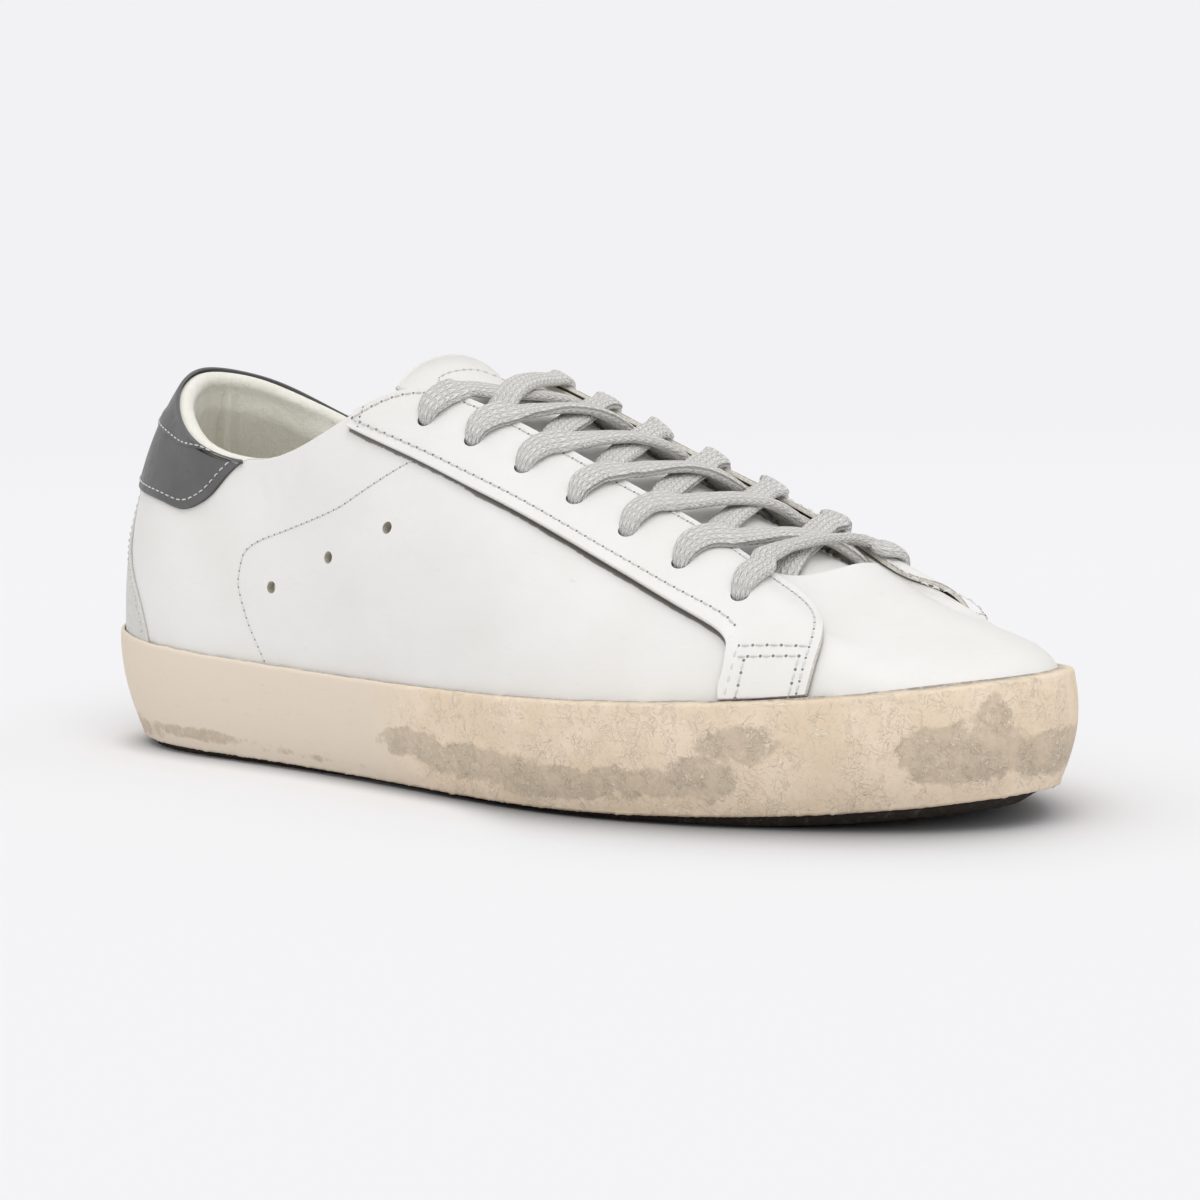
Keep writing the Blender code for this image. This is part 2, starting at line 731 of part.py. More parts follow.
def own_side(eyelet, outer, step):
    """A lace from just inside its eyelet up over the edge of the throat: points and normals."""
    _, around, up = eyelet
    around = around if outer else 1 - around
    centre = upper_at(around, up)[0]
    edge = edge_place(centre[0] + step, outer)
    shares = np.array((0.32, 0.62, 1.0))
    places = around + (edge - around) * shares
    ups = up + (1 - up) * shares
    points = upper_at(places, ups, LACE_LIFT)
    return points, (upper_at(places, ups, LACE_LIFT + 1.0) - points)


def lace_run(start, end, outer, rise, stop=0.9):
    """A lace from its eyelet over the tongue to the far edge of the throat, abreast of the next one."""
    points, normals = own_side(start, outer, EDGE_STEP)
    far_points, far_normals = own_side(end, not outer, 1.0)
    parts = np.array((0.22, 0.5, 0.78, 1.0))[:, None] * stop
    bridge = points[-1] * (1 - parts) + far_points[-1] * parts
    bridge = bridge + UP * rise * 4 * parts * (1 - parts) - UP * 0.9 * parts
    tilt = normals[-1] * (1 - parts) + far_normals[-1] * parts
    return np.concatenate((points, bridge)), np.concatenate((normals, tilt))


def lace_bar(eyelet):
    """The straight bar between the two front eyelets."""
    points, normals = own_side(eyelet, True, 0.0)
    far_points, far_normals = (row[::-1] for row in own_side(eyelet, False, 0.0))
    middle = (points[-1:] + far_points[:1]) / 2 + UP * BAR_RISE
    tilt = (normals[-1:] + far_normals[:1]) / 2
    return np.concatenate((points, middle, far_points)), np.concatenate((normals, tilt, far_normals))


def lace_mesh(name, line, normals):
    """A flat section swept along a line, lying square to the normals."""
    along = unit(np.gradient(line, axis=0))
    side = unit(np.cross(along, normals))
    out = np.cross(side, along)
    across, through = np.array(LACE_SECTION).T[..., None, None]
    section = side * across * LACE_WIDTH / 2 + out * through * LACE_THICKNESS / 2
    builder = Builder()
    rings = builder.add(line + section)
    builder.grid(rings, closed=True)
    builder.faces.append(tuple(rings[:, 0]))
    builder.faces.append(tuple(rings[:, -1]))
    return builder.mesh(name)


def make_laces(shoe, finish):
    """The front bar and the crossings, joined into one solid clear of the tongue and the eyestays."""
    runs = [("bar", lace_bar(EYELETS[0]))]
    for lower, higher in zip(EYELETS[:-1], EYELETS[1:]):
        outer_over = higher[0] != "seventh"
        rises = (OVER_RISE, UNDER_RISE) if outer_over else (UNDER_RISE, OVER_RISE)
        runs.append(("outer_" + higher[0], lace_run(higher, lower, True, rises[0])))
        runs.append(("inner_" + higher[0], lace_run(higher, lower, False, rises[1])))
    laces = None
    for name, run in runs:
        mesh = lace_mesh("lace_" + name, *run)
        if laces is None:
            laces = shoe.piece("laces", mesh, finish)
            continue
        joined = laces.modifiers.new("join " + name, "BOOLEAN")
        joined.operation = "UNION"
        joined.solver = "EXACT"
        joined.object = shoe.cutter("lace_" + name, mesh)
    return laces


# ---------------------------------------------------------------- the whole shoe


def clear_scene():
    for thing in list(bpy.data.objects):
        bpy.data.objects.remove(thing, do_unlink=True)


def centre_on_origin(shoe):
    """Puts the middle of the shoe's box over the origin, with the tread on z = 0."""
    graph = bpy.context.evaluated_depsgraph_get()
    solids = [piece.evaluated_get(graph) for piece in shoe.parts.objects if piece.type == "MESH"]
    corners = np.array([corner for solid in solids for corner in solid.bound_box])
    middle = (corners.min(axis=0) + corners.max(axis=0)) / 2
    shoe.root.location = (-middle[0], -middle[1], 0.0)


def main():
    clear_scene()
    shoe = Shoe()
    white_leather = material("white_leather", (0.86, 0.86, 0.85), 0.45)
    dark_leather = material("dark_grey_leather", (0.13, 0.13, 0.135), 0.5)
    suede = material("grey_suede", (0.58, 0.59, 0.57), 0.9)
    rubber = material("cream_rubber", (0.73, 0.61, 0.47), 0.75)
    tread = material("brown_rubber", (0.16, 0.11, 0.08), 0.85)
    lining = material("cream_lining", (0.75, 0.72, 0.6), 0.9)
    cotton = material("grey_cotton", (0.38, 0.38, 0.37), 0.95)

    make_cup_sole(shoe, rubber)
    make_outsole(shoe, tread)
    make_insole(shoe, lining)
    eyelets = hole_cutter(shoe, "eyelet_cutter", EYELETS, EYELET_DIAMETER, mirrored=True)
    vents = hole_cutter(shoe, "vent_cutter", VENTS, VENT_DIAMETER, mirrored=False)
    upper = make_upper(shoe, white_leather, eyelets, vents)
    make_eyestays(shoe, white_leather, eyelets)
    make_heel_tab(shoe, dark_leather)
    make_backstay(shoe, suede)
    make_tongue(shoe, white_leather, upper)
    make_laces(shoe, cotton)
    centre_on_origin(shoe)


if __name__ == "__main__":
    main()
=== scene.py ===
"""The looks of a worn low-top court sneaker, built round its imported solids.

Laid out as a Blender add-on and run as a script. Shapes are worked out in millimetres from the back of
the heel: x runs to the toe, y to the inner side, z up from the floor. A place on the upper is given as
(around, up): around goes from 0 at the back of the heel along the outer side to 0.5 at the toe tip and
back along the inner side to 1, and up goes from 0 at the rim of the sole to 1 at the top edge.
"""

import math

import bmesh
import bpy
import numpy as np
from bpy.props import FloatProperty, FloatVectorProperty, PointerProperty
from bpy.types import Operator, Panel, PropertyGroup
from mathutils import Matrix, Vector, noise
from mathutils.bvhtree import BVHTree


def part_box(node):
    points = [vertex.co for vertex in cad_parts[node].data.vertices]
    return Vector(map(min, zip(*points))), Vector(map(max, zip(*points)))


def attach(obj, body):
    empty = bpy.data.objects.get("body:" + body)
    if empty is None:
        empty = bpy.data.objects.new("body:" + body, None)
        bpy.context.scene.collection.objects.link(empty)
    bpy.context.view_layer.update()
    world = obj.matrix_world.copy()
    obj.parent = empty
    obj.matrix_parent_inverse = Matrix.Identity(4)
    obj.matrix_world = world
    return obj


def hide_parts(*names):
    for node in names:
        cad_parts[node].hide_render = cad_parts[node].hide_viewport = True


bl_info = {
    "name": "Worn court sneaker",
    "version": (1, 0, 0),
    "blender": (4, 5, 0),
    "location": "3D View > Sidebar > Sneaker",
    "description": "Builds a worn low-top court sneaker, piece by piece",
    "category": "Object",
}

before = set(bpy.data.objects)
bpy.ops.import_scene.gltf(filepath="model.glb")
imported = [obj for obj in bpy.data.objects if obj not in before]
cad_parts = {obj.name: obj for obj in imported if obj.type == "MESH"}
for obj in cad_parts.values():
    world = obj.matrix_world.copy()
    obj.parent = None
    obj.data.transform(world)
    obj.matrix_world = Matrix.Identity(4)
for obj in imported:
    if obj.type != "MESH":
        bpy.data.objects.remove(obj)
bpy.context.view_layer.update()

MM = 0.001
LENGTH = 298.0
GAP = 0.35
UP = np.array((0.0, 0.0, 1.0))

# Sole
FLOOR_THICKNESS = 9.0
CUP_WALL = 2.9
INSOLE_THICKNESS = 4.0
TREAD_INSET = 2.6
TREAD_SEAT = 0.8
HEEL_BEVEL, HEEL_BEVEL_RISE = 14.0, 2.6
ARCH_START, ARCH_END, ARCH_RISE = 92.0, 152.0, 1.0
SPRING_START, SPRING_RISE = 226.0, 6.0
GROOVE_WIDTH, GROOVE_DEPTH, GROOVE_STEP, GROOVE_MARGIN, GROOVE_SWEEP = 2.6, 1.2, 8.6, 6.0, 5.0
GROOVE_RANGES = ((12.0, 84.0), (158.0, 286.0))

# Upper
UPPER_WALL = 2.2
LEATHER = 1.4
OVERLAY_BASE, OVERLAY = 0.15, 1.3
TAB, STRIP_STEP = 0.9, 0.4
EYELET_DIAMETER, VENT_DIAMETER = 4.6, 3.2

OUTLINE = (
    # place, x, y
    ("heel back", 0.0, -1.5),
    ("heel corner, outer", 6.5, -26.0),
    ("heel side, outer", 28.5, -39.5),
    ("heel front, outer", 60.0, -42.0),
    ("waist, outer", 100.0, -44.0),
    ("fifth joint rear", 145.0, -49.5),
    ("fifth joint", 185.0, -52.5),
    ("little toe", 225.0, -46.0),
    ("toes, outer", 262.0, -33.0),
    ("toe corner, outer", 289.0, -16.5),
    ("toe tip", LENGTH, 3.0),
    ("toe corner, inner", 289.5, 20.5),
    ("big toe", 271.5, 35.5),
    ("first joint front", 240.0, 47.5),
    ("first joint", 205.0, 49.5),
    ("first joint rear", 170.0, 43.0),
    ("waist, inner", 130.0, 36.5),
    ("heel front, inner", 85.0, 37.0),
    ("heel side, inner", 40.0, 38.0),
    ("heel corner, inner", 8.0, 24.0),
)

SIDEWALL = (
    # place, x, rim_height, lower_edge_height, lower_edge_inset, bulge
    ("heel", 0.0, 32.0, 2.5, 6.0, 0.6),
    ("heel front", 60.0, 28.0, 1.9, 3.5, 0.5),
    ("waist", 130.0, 27.0, 1.4, 2.6, 0.5),
    ("ball", 200.0, 28.5, 1.7, 1.5, 0.7),
    ("toes", 260.0, 32.0, 4.6, 2.0, 1.2),
    ("toe", LENGTH, 36.5, 8.7, 4.2, 1.8),
)

RIBS = (
    # place, around, top_x, top_half_width, top_z, lean, rise, slope, reach
    ("heel back", 0.000, 18.3, 0.0, 99.4, 1.2, 35.0, 41.0, 27.5),
    ("heel corner", 0.035, 21.6, 10.3, 97.8, 2.2, 34.0, 52.0, 25.0),
    ("heel side", 0.085, 29.7, 21.4, 92.7, 3.5, 34.0, 60.5, 28.0),
    ("collar rear", 0.140, 45.5, 30.2, 83.5, 1.5, 30.0, 78.0, 18.0),
    ("collar dip", 0.190, 65.0, 29.8, 79.1, 1.5, 30.0, 74.0, 16.0),
    ("collar rise", 0.245, 88.0, 30.0, 85.5, 1.5, 32.0, 66.0, 18.0),
    ("eyestay rear", 0.280, 102.5, 26.0, 94.0, 1.5, 34.0, 56.0, 20.0),
    ("eyestay top", 0.312, 118.0, 20.0, 98.0, 1.5, 36.0, 44.0, 22.0),
    ("throat upper", 0.345, 142.0, 17.5, 90.5, 1.5, 34.0, 36.0, 22.0),
    ("throat middle", 0.380, 172.5, 18.0, 78.0, 1.5, 31.0, 32.0, 22.0),
    ("throat lower", 0.415, 203.0, 19.5, 65.5, 5.9, 27.0, 26.0, 19.5),
    ("throat corner", 0.455, 224.5, 17.0, 56.5, 4.6, 32.0, 35.0, 36.0),
    ("throat front", 0.500, 233.5, 0.0, 58.0, 6.5, 34.5, 28.0, 43.5),
)

BEND = (
    # place, x, y
    ("heel", 0.0, -1.5),
    ("collar", 60.0, -2.0),
    ("instep", 112.0, 0.5),
    ("throat", 160.0, 5.5),
    ("vamp", 228.0, 9.5),
)

EYESTAY = (
    # place, upper_around, upper_up, lower_around, lower_up
    ("rear end", 0.2740, 1.000, 0.2680, 0.945),
    ("top corner", 0.2920, 1.000, 0.2834, 0.786),
    ("seventh eyelet", 0.3120, 1.000, 0.3038, 0.627),
    ("sixth eyelet", 0.3320, 1.000, 0.3193, 0.545),
    ("fifth eyelet", 0.3520, 1.000, 0.3355, 0.485),
    ("fourth eyelet", 0.3720, 1.000, 0.3511, 0.430),
    ("third eyelet", 0.3950, 1.000, 0.3659, 0.372),
    ("second eyelet", 0.4180, 0.995, 0.3784, 0.312),
    ("first eyelet", 0.4390, 0.970, 0.3890, 0.255),
    ("throat corner", 0.4540, 0.880, 0.3920, 0.205),
    ("front edge", 0.4510, 0.700, 0.3900, 0.160),
    ("leg top", 0.4420, 0.490, 0.3870, 0.110),
    ("leg middle", 0.4330, 0.300, 0.3840, 0.065),
    ("leg low", 0.4240, 0.140, 0.3815, 0.030),
    ("leg foot", 0.4150, -0.015, 0.3800, -0.015),
)

HEEL_TAB = (
    # place, upper_around, lower_around, lower_height
    ("back", 0.000, 0.000, 69.5),
    ("back corner", 0.030, 0.033, 69.3),
    ("side", 0.060, 0.066, 68.4),
    ("low rear", 0.085, 0.090, 66.9),
    ("low front", 0.104, 0.108, 65.4),
    ("rise", 0.121, 0.128, 66.9),
    ("front", 0.137, 0.146, 69.6),
    ("seam end", 0.151, 0.161, 73.1),
    ("front end", 0.168, 0.174, 76.4),
    ("tip", 0.181, 0.183, 78.4),
)
TAB_END = 0.183

BACKSTAY = (
    # place, height, half_around
    ("rim", 27.0, 0.0790),
    ("low", 38.0, 0.0735),
    ("middle", 46.0, 0.0640),
    ("high", 56.0, 0.0460),
    ("top", 70.0, 0.0300),
)

EYELETS = (
    # place, around, up
    ("first", 0.4090, 0.460),
    ("second", 0.3900, 0.540),
    ("third", 0.3735, 0.610),
    ("fourth", 0.3570, 0.665),
    ("fifth", 0.3400, 0.712),
    ("sixth", 0.3230, 0.765),
    ("seventh", 0.3065, 0.840),
)

VENTS = (
    # place, around, up
    ("front", 0.2640, 0.523),
    ("middle", 0.2195, 0.468),
    ("rear", 0.1680, 0.316),
)

TONGUE = (
    # place, x, top_z, half_width, edge_drop
    ("front end", 243.0, 49.5, 14.0, 4.0),
    ("under the vamp", 233.0, 53.6, 18.0, 6.0),
    ("throat front", 224.0, 57.0, 21.0, 8.5),
    ("throat lower", 203.0, 65.3, 25.0, 11.0),
    ("throat middle", 172.0, 77.8, 26.0, 11.5),
    ("throat upper", 142.0, 90.3, 26.0, 12.0),
    ("eyestay top", 120.0, 99.0, 20.0, 7.0),
    ("free part", 109.0, 102.6, 19.0, 4.6),
    ("free end", 106.5, 106.4, 19.5, 4.2),
)
TONGUE_THICKNESS = 3.5
TONGUE_CLEARANCE = 1.0
TONGUE_CORNER = 1.0

# The stitched line across the quarter, from under the eyestay to the sole.
QUARTER_SEAM = (
    # place, around, up
    ("under the eyestay", 0.2925, 0.706),
    ("front", 0.2719, 0.684),
    ("front middle", 0.2536, 0.664),
    ("middle", 0.2410, 0.651),
    ("rear middle", 0.2128, 0.625),
    ("rear", 0.1831, 0.561),
    ("bend start", 0.1678, 0.507),
    ("bend", 0.1600, 0.470),
    ("bend end", 0.1544, 0.427),
    ("upper leg", 0.1472, 0.346),
    ("leg", 0.1438, 0.278),
    ("lower leg", 0.1433, 0.197),
    ("low leg", 0.1441, 0.122),
    ("rim", 0.1480, 0.000),
)

# Soft folds of the upper, each a trough with a ridge on both sides, on the outer and the inner side.
FOLDS = (
    # place, start_around, start_up, end_around, end_up, half_width, depth
    ("below the collar, rear", 0.196, 0.93, 0.190, 0.66, 3.2, 0.14),
    ("below the collar, middle", 0.208, 0.95, 0.206, 0.70, 2.6, 0.12),
    ("below the collar, front", 0.222, 0.92, 0.226, 0.74, 3.0, 0.10),
    ("under the tab", 0.150, 0.66, 0.100, 0.52, 5.0, 0.35),
    ("quarter hollow", 0.270, 0.40, 0.180, 0.16, 9.0, 0.45),
    ("waist", 0.330, 0.22, 0.240, 0.06, 7.0, 0.35),
    ("behind the leg", 0.372, 0.20, 0.350, 0.02, 4.0, 0.28),
    ("ball, upper", 0.440, 0.50, 0.462, 0.62, 3.2, 0.22),
    ("ball, lower", 0.432, 0.22, 0.462, 0.36, 3.6, 0.26),
    ("toe, side", 0.452, 0.10, 0.480, 0.34, 5.0, 0.25),
)

# Dirt rubbed into the side of the sole.
SMUDGES = (
    # place, around, height_share, half_around, half_share, strength
    ("heel streak", 0.105, 0.17, 0.055, 0.09, 0.62),
    ("heel foot", 0.055, 0.12, 0.035, 0.16, 0.60),
    ("waist streak", 0.170, 0.12, 0.045, 0.06, 0.50),
    ("waist, rear", 0.232, 0.46, 0.022, 0.17, 0.80),
    ("waist, middle", 0.268, 0.36, 0.040, 0.20, 0.86),
    ("waist, front", 0.305, 0.26, 0.038, 0.18, 0.84),
    ("ball, rear", 0.340, 0.30, 0.030, 0.20, 0.72),
    ("ball, high", 0.384, 0.66, 0.017, 0.20, 0.84),
    ("ball, low", 0.370, 0.36, 0.016, 0.24, 0.80),
    ("toes, rear", 0.456, 0.46, 0.015, 0.28, 1.00),
    ("toes, middle", 0.470, 0.42, 0.016, 0.26, 1.00),
    ("toes, spur", 0.473, 0.74, 0.007, 0.20, 0.86),
    ("toe tip", 0.500, 0.36, 0.026, 0.22, 0.98),
    ("toe, inner", 0.560, 0.40, 0.030, 0.30, 0.90),
    ("ball, inner", 0.640, 0.34, 0.045, 0.24, 0.86),
    ("waist, inner", 0.740, 0.24, 0.050, 0.20, 0.70),
    ("heel, inner", 0.880, 0.26, 0.045, 0.22, 0.76),
    ("heel back", 0.985, 0.20, 0.030, 0.18, 0.70),
)


# ---------------------------------------------------------------- curves through the tables


def columns(table):
    """The number columns of a table, one array each, without the names of its rows."""
    return np.array([row[1:] for row in table], float).T


def spline(places, values):
    """A natural cubic spline through values at places; it holds its end values outside them."""
    places = np.asarray(places, float)
    values = np.asarray(values, float)
    count = len(places)
    step = np.diff(places)
    matrix = np.eye(count)
    change = np.zeros_like(values)
    for i in range(1, count - 1):
        matrix[i, i - 1 : i + 2] = step[i - 1], 2 * (step[i - 1] + step[i]), step[i]
        after = (values[i + 1] - values[i]) / step[i]
        before = (values[i] - values[i - 1]) / step[i - 1]
        change[i] = 6 * (after - before)
    bend = np.linalg.solve(matrix, change)

    def at(place):
        place = np.clip(np.asarray(place, float), places[0], places[-1])
        k = np.clip(np.searchsorted(places, place, side="right") - 1, 0, count - 2)
        width = step[k]
        left = (places[k + 1] - place) / width
        right = 1 - left
        if values.ndim > 1:
            left, right, width = left[..., None], right[..., None], width[..., None]
        cubic = (left**3 - left) * bend[k] + (right**3 - right) * bend[k + 1]
        return left * values[k] + right * values[k + 1] + cubic * width**2 / 6

    return at


def loop_spline(places, values):
    """A closed smooth curve of period 1 through values at places."""
    wrap = 4
    places = np.concatenate((places[-wrap:] - 1, places, places[:wrap] + 1))
    values = np.concatenate((values[-wrap:], values, values[:wrap]))
    curve = spline(places, values)
    return lambda place: curve(np.mod(place, 1.0))


def unit(vectors):
    """Vectors made one long."""
    return vectors / np.linalg.norm(vectors, axis=-1)[..., None]


def smooth_step(value, low, high):
    """0 below low, 1 above high, and a smooth rise between them."""
    share = np.clip((value - low) / (high - low), 0, 1)
    return share * share * (3 - 2 * share)


def crowded(count):
    """Shares from 0 to 1 that lie closer together at both ends."""
    return 0.5 - 0.5 * np.cos(np.linspace(0, math.pi, count))


def round_off(inside, soft, least=0.0):
    """A quarter-round rise from 0 at an edge to 1 from soft inward, never below the root of least."""
    return np.sqrt(np.clip(1 - (1 - np.clip(inside / soft, 0, 1)) ** 2, least, 1))


def with_height(flat, height):
    """Points seen from above, given a height."""
    height = np.broadcast_to(height, flat.shape[:-1])
    return np.concatenate((flat, height[..., None]), axis=-1)


def outline_places():
    """Where each row of OUTLINE lies around the shoe: 0 at the heel, 0.5 at the toe tip."""
    points = columns(OUTLINE).T
    toe = [row[0] for row in OUTLINE].index("toe tip")
    steps = np.linalg.norm(np.roll(points, -1, axis=0) - points, axis=1)
    outer = np.cumsum(steps[:toe]) / steps[:toe].sum()
    inner = np.cumsum(steps[toe:]) / steps[toe:].sum()
    return np.concatenate(((0.0,), outer / 2, 0.5 + inner[:-1] / 2))


rim_at = loop_spline(outline_places(), columns(OUTLINE).T)

SIDE_X, RIM_HEIGHTS, EDGE_HEIGHTS, EDGE_INSETS, BULGES = columns(SIDEWALL)
rim_height = spline(SIDE_X, RIM_HEIGHTS)
edge_height = spline(SIDE_X, EDGE_HEIGHTS)
edge_inset = spline(SIDE_X, EDGE_INSETS)
side_bulge = spline(SIDE_X, BULGES)
bend_at = spline(*columns(BEND))


def outward_at(around):
    """The level direction that points away from the shoe."""
    step = 0.001
    along = unit(rim_at(around + step) - rim_at(around - step))
    return np.stack((along[..., 1], -along[..., 0]), axis=-1)


def inset_rim(around, inset):
    return rim_at(around) - outward_at(around) * np.asarray(inset)[..., None]


def floor_height(x):
    """The top of the sole's floor, which carries the insole."""
    return edge_height(x) + FLOOR_THICKNESS


def ground_height(x):
    """The underside of the tread: flat at the heel and the ball, raised between them and at the ends."""
    heel = HEEL_BEVEL_RISE * np.clip(1 - x / HEEL_BEVEL, 0, 1) ** 2
    arch_part = np.clip((x - ARCH_START) / (ARCH_END - ARCH_START), 0, 1)
    arch = ARCH_RISE * np.sin(math.pi * arch_part) ** 2
    spring = SPRING_RISE * np.clip((x - SPRING_START) / (LENGTH - SPRING_START), 0, 1) ** 1.8
    return heel + arch + spring


# ---------------------------------------------------------------- the outer face of the upper


def rib_curves():
    """The top edge and the shape numbers of the ribs, as closed curves round the shoe."""
    around, top_x, half, top_z, *shape = columns(RIBS)
    way_back = slice(-2, 0, -1)
    places = np.concatenate((around, 1 - around[way_back]))
    outer = np.stack((top_x, bend_at(top_x) - half, top_z), axis=-1)
    inner = np.stack((top_x, bend_at(top_x) + half, top_z), axis=-1)
    shape = np.stack(shape, axis=-1)
    top = loop_spline(places, np.concatenate((outer, inner[way_back])))
    return top, loop_spline(places, np.concatenate((shape, shape[way_back])))


top_edge, rib_shape = rib_curves()
BLEND_RADIUS = 15.0


def rib_point(around, part):
    """The outer face of the upper at a part of the rib, 0 at the insole and 1 at the top edge."""
    around, part = np.broadcast_arrays(np.asarray(around, float), np.asarray(part, float))
    lean, rise, slope, reach = (rib_shape(around)[..., i, None] for i in range(4))
    outward = outward_at(around)
    foot = inset_rim(around, np.full(around.shape, CUP_WALL))
    foot = with_height(foot, floor_height(foot[..., 0]) + GAP)
    top = top_edge(around)
    away = with_height(unit(outward * BLEND_RADIUS + (foot - top)[..., :2]), 0.0)
    low = foot + with_height(outward, 0.0) * lean + UP * rise
    slope = np.radians(slope)
    high = top + (away * np.cos(slope) - UP * np.sin(slope)) * reach
    p = part[..., None]
    q = 1 - p
    return q**3 * foot + 3 * q * q * p * low + 3 * q * p * p * high + p**3 * top


def rim_parts():
    """The part of each rib where it leaves the sole's rim, and the length of the rib above it."""
    places = np.linspace(0, 1, 361)
    parts = np.linspace(0, 0.6, 61)
    heights = rib_point(places[:, None], parts)[..., 2]
    wanted = rim_height(rim_at(places)[..., 0]) + 0.5
    rims = np.array([np.interp(want, row, parts) for want, row in zip(wanted, heights)])
    shares = np.linspace(0, 1, 41)
    ribs = rib_point(places[:, None], rims[:, None] + shares * (1 - rims[:, None]))
    lengths = np.linalg.norm(np.diff(ribs, axis=1), axis=-1).sum(axis=1)
    return places, rims, lengths


RIM_PLACES, RIM_PARTS, RIB_LENGTHS = rim_parts()


def rim_part(around):
    return np.interp(np.mod(around, 1.0), RIM_PLACES, RIM_PARTS)


def rib_length(around):
    return np.interp(np.mod(around, 1.0), RIM_PLACES, RIB_LENGTHS)


def upper_frame(around, up):
    """Points on the upper's outer face, with the outward normal and the direction up the rib there."""
    around, up = np.broadcast_arrays(np.asarray(around, float), np.asarray(up, float))
    rim = rim_part(around)
    part = rim + up * (1 - rim)
    step = 0.002
    low = np.clip(part - step, 0, 1)
    high = np.clip(part + step, 0, 1)
    along = rib_point(around + step, part) - rib_point(around - step, part)
    rise = unit(rib_point(around, high) - rib_point(around, low))
    return rib_point(around, part), unit(np.cross(along, rise)), rise


def upper_at(around, up, lift=0.0):
    """A place on the upper, lifted off its outer face."""
    point, normal, _ = upper_frame(around, up)
    return point + normal * np.broadcast_to(lift, point.shape[:-1])[..., None]


def at_height(around, height):
    """The up of places at a height on the upper, or just under the top edge where that is lower."""
    around, height = np.broadcast_arrays(np.asarray(around, float), height)
    ups = np.linspace(-0.12, 1.0, 60)
    heights = upper_frame(around[:, None], ups)[0][..., 2]
    return np.array([np.interp(wanted, row, ups) for wanted, row in zip(height, heights)])


def from_heel(around):
    """How far a place lies from the middle of the heel, the same on both sides: 0 to 0.5."""
    around = np.mod(around, 1.0)
    return np.minimum(around, 1 - around)


def both_sides(edge):
    """(around, up) rows from the middle of the back, carried on round the other side."""
    other = np.stack((-edge[:0:-1, 0], edge[:0:-1, 1]), axis=-1)
    return np.concatenate((other, edge))


def mirrored(places):
    """(around, up) places of the outer side, on the inner side."""
    return np.stack((1 - places[..., 0], places[..., 1]), axis=-1)


FOLD_SAMPLES = 30


def relief(points, around):
    """How far the upper's face is raised or sunk by its soft folds, at points on it."""
    raised = np.zeros(points.shape[:-1])
    scale = bpy.context.scene.sneaker_wear.fold_depth
    for _, start, start_up, end, end_up, half_width, depth in FOLDS:
        share = np.linspace(0, 1, FOLD_SAMPLES)
        place = start + (end - start) * share
        up = start_up + (end_up - start_up) * share
        for side in (place, 1 - place):
            line = upper_at(side, up)
            near = np.abs(from_heel(around) - (start + end) / 2) < 0.1
            near &= (np.mod(around, 1.0) < 0.5) == (side[0] < 0.5)
            away = np.linalg.norm(points[near][:, None] - line, axis=-1)
            nearest = away.argmin(axis=1)
            across = (away[np.arange(len(away)), nearest] / half_width) ** 2
            fade = np.sin(math.pi * np.clip(nearest / (FOLD_SAMPLES - 1), 0.02, 0.98)) ** 0.7
            raised[near] -= depth * scale * fade * (1 - across) * np.exp(-across)
    return raised


def ripple(points, size, octaves=3):
    """Smooth noise between about -1 and 1 at points in millimetres, for waves of about that size."""
    flat = points.reshape(-1, 3) / size
    values = [noise.fractal(Vector(point), 1.0, 2.0, octaves) for point in flat]
    return np.array(values).reshape(points.shape[:-1])


# ---------------------------------------------------------------- meshes


def frame_shift():
    """The level move from the heel's own millimetres to the frame, found from the insole's box."""
    ring = inset_rim(np.arange(40) / 40, np.full(40, CUP_WALL + UPPER_WALL + 2 * GAP))
    low = np.array(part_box("insole")[0]) / MM
    return np.array((*(low[:2] - ring.min(axis=0)), 0.0))


SHIFT = frame_shift()


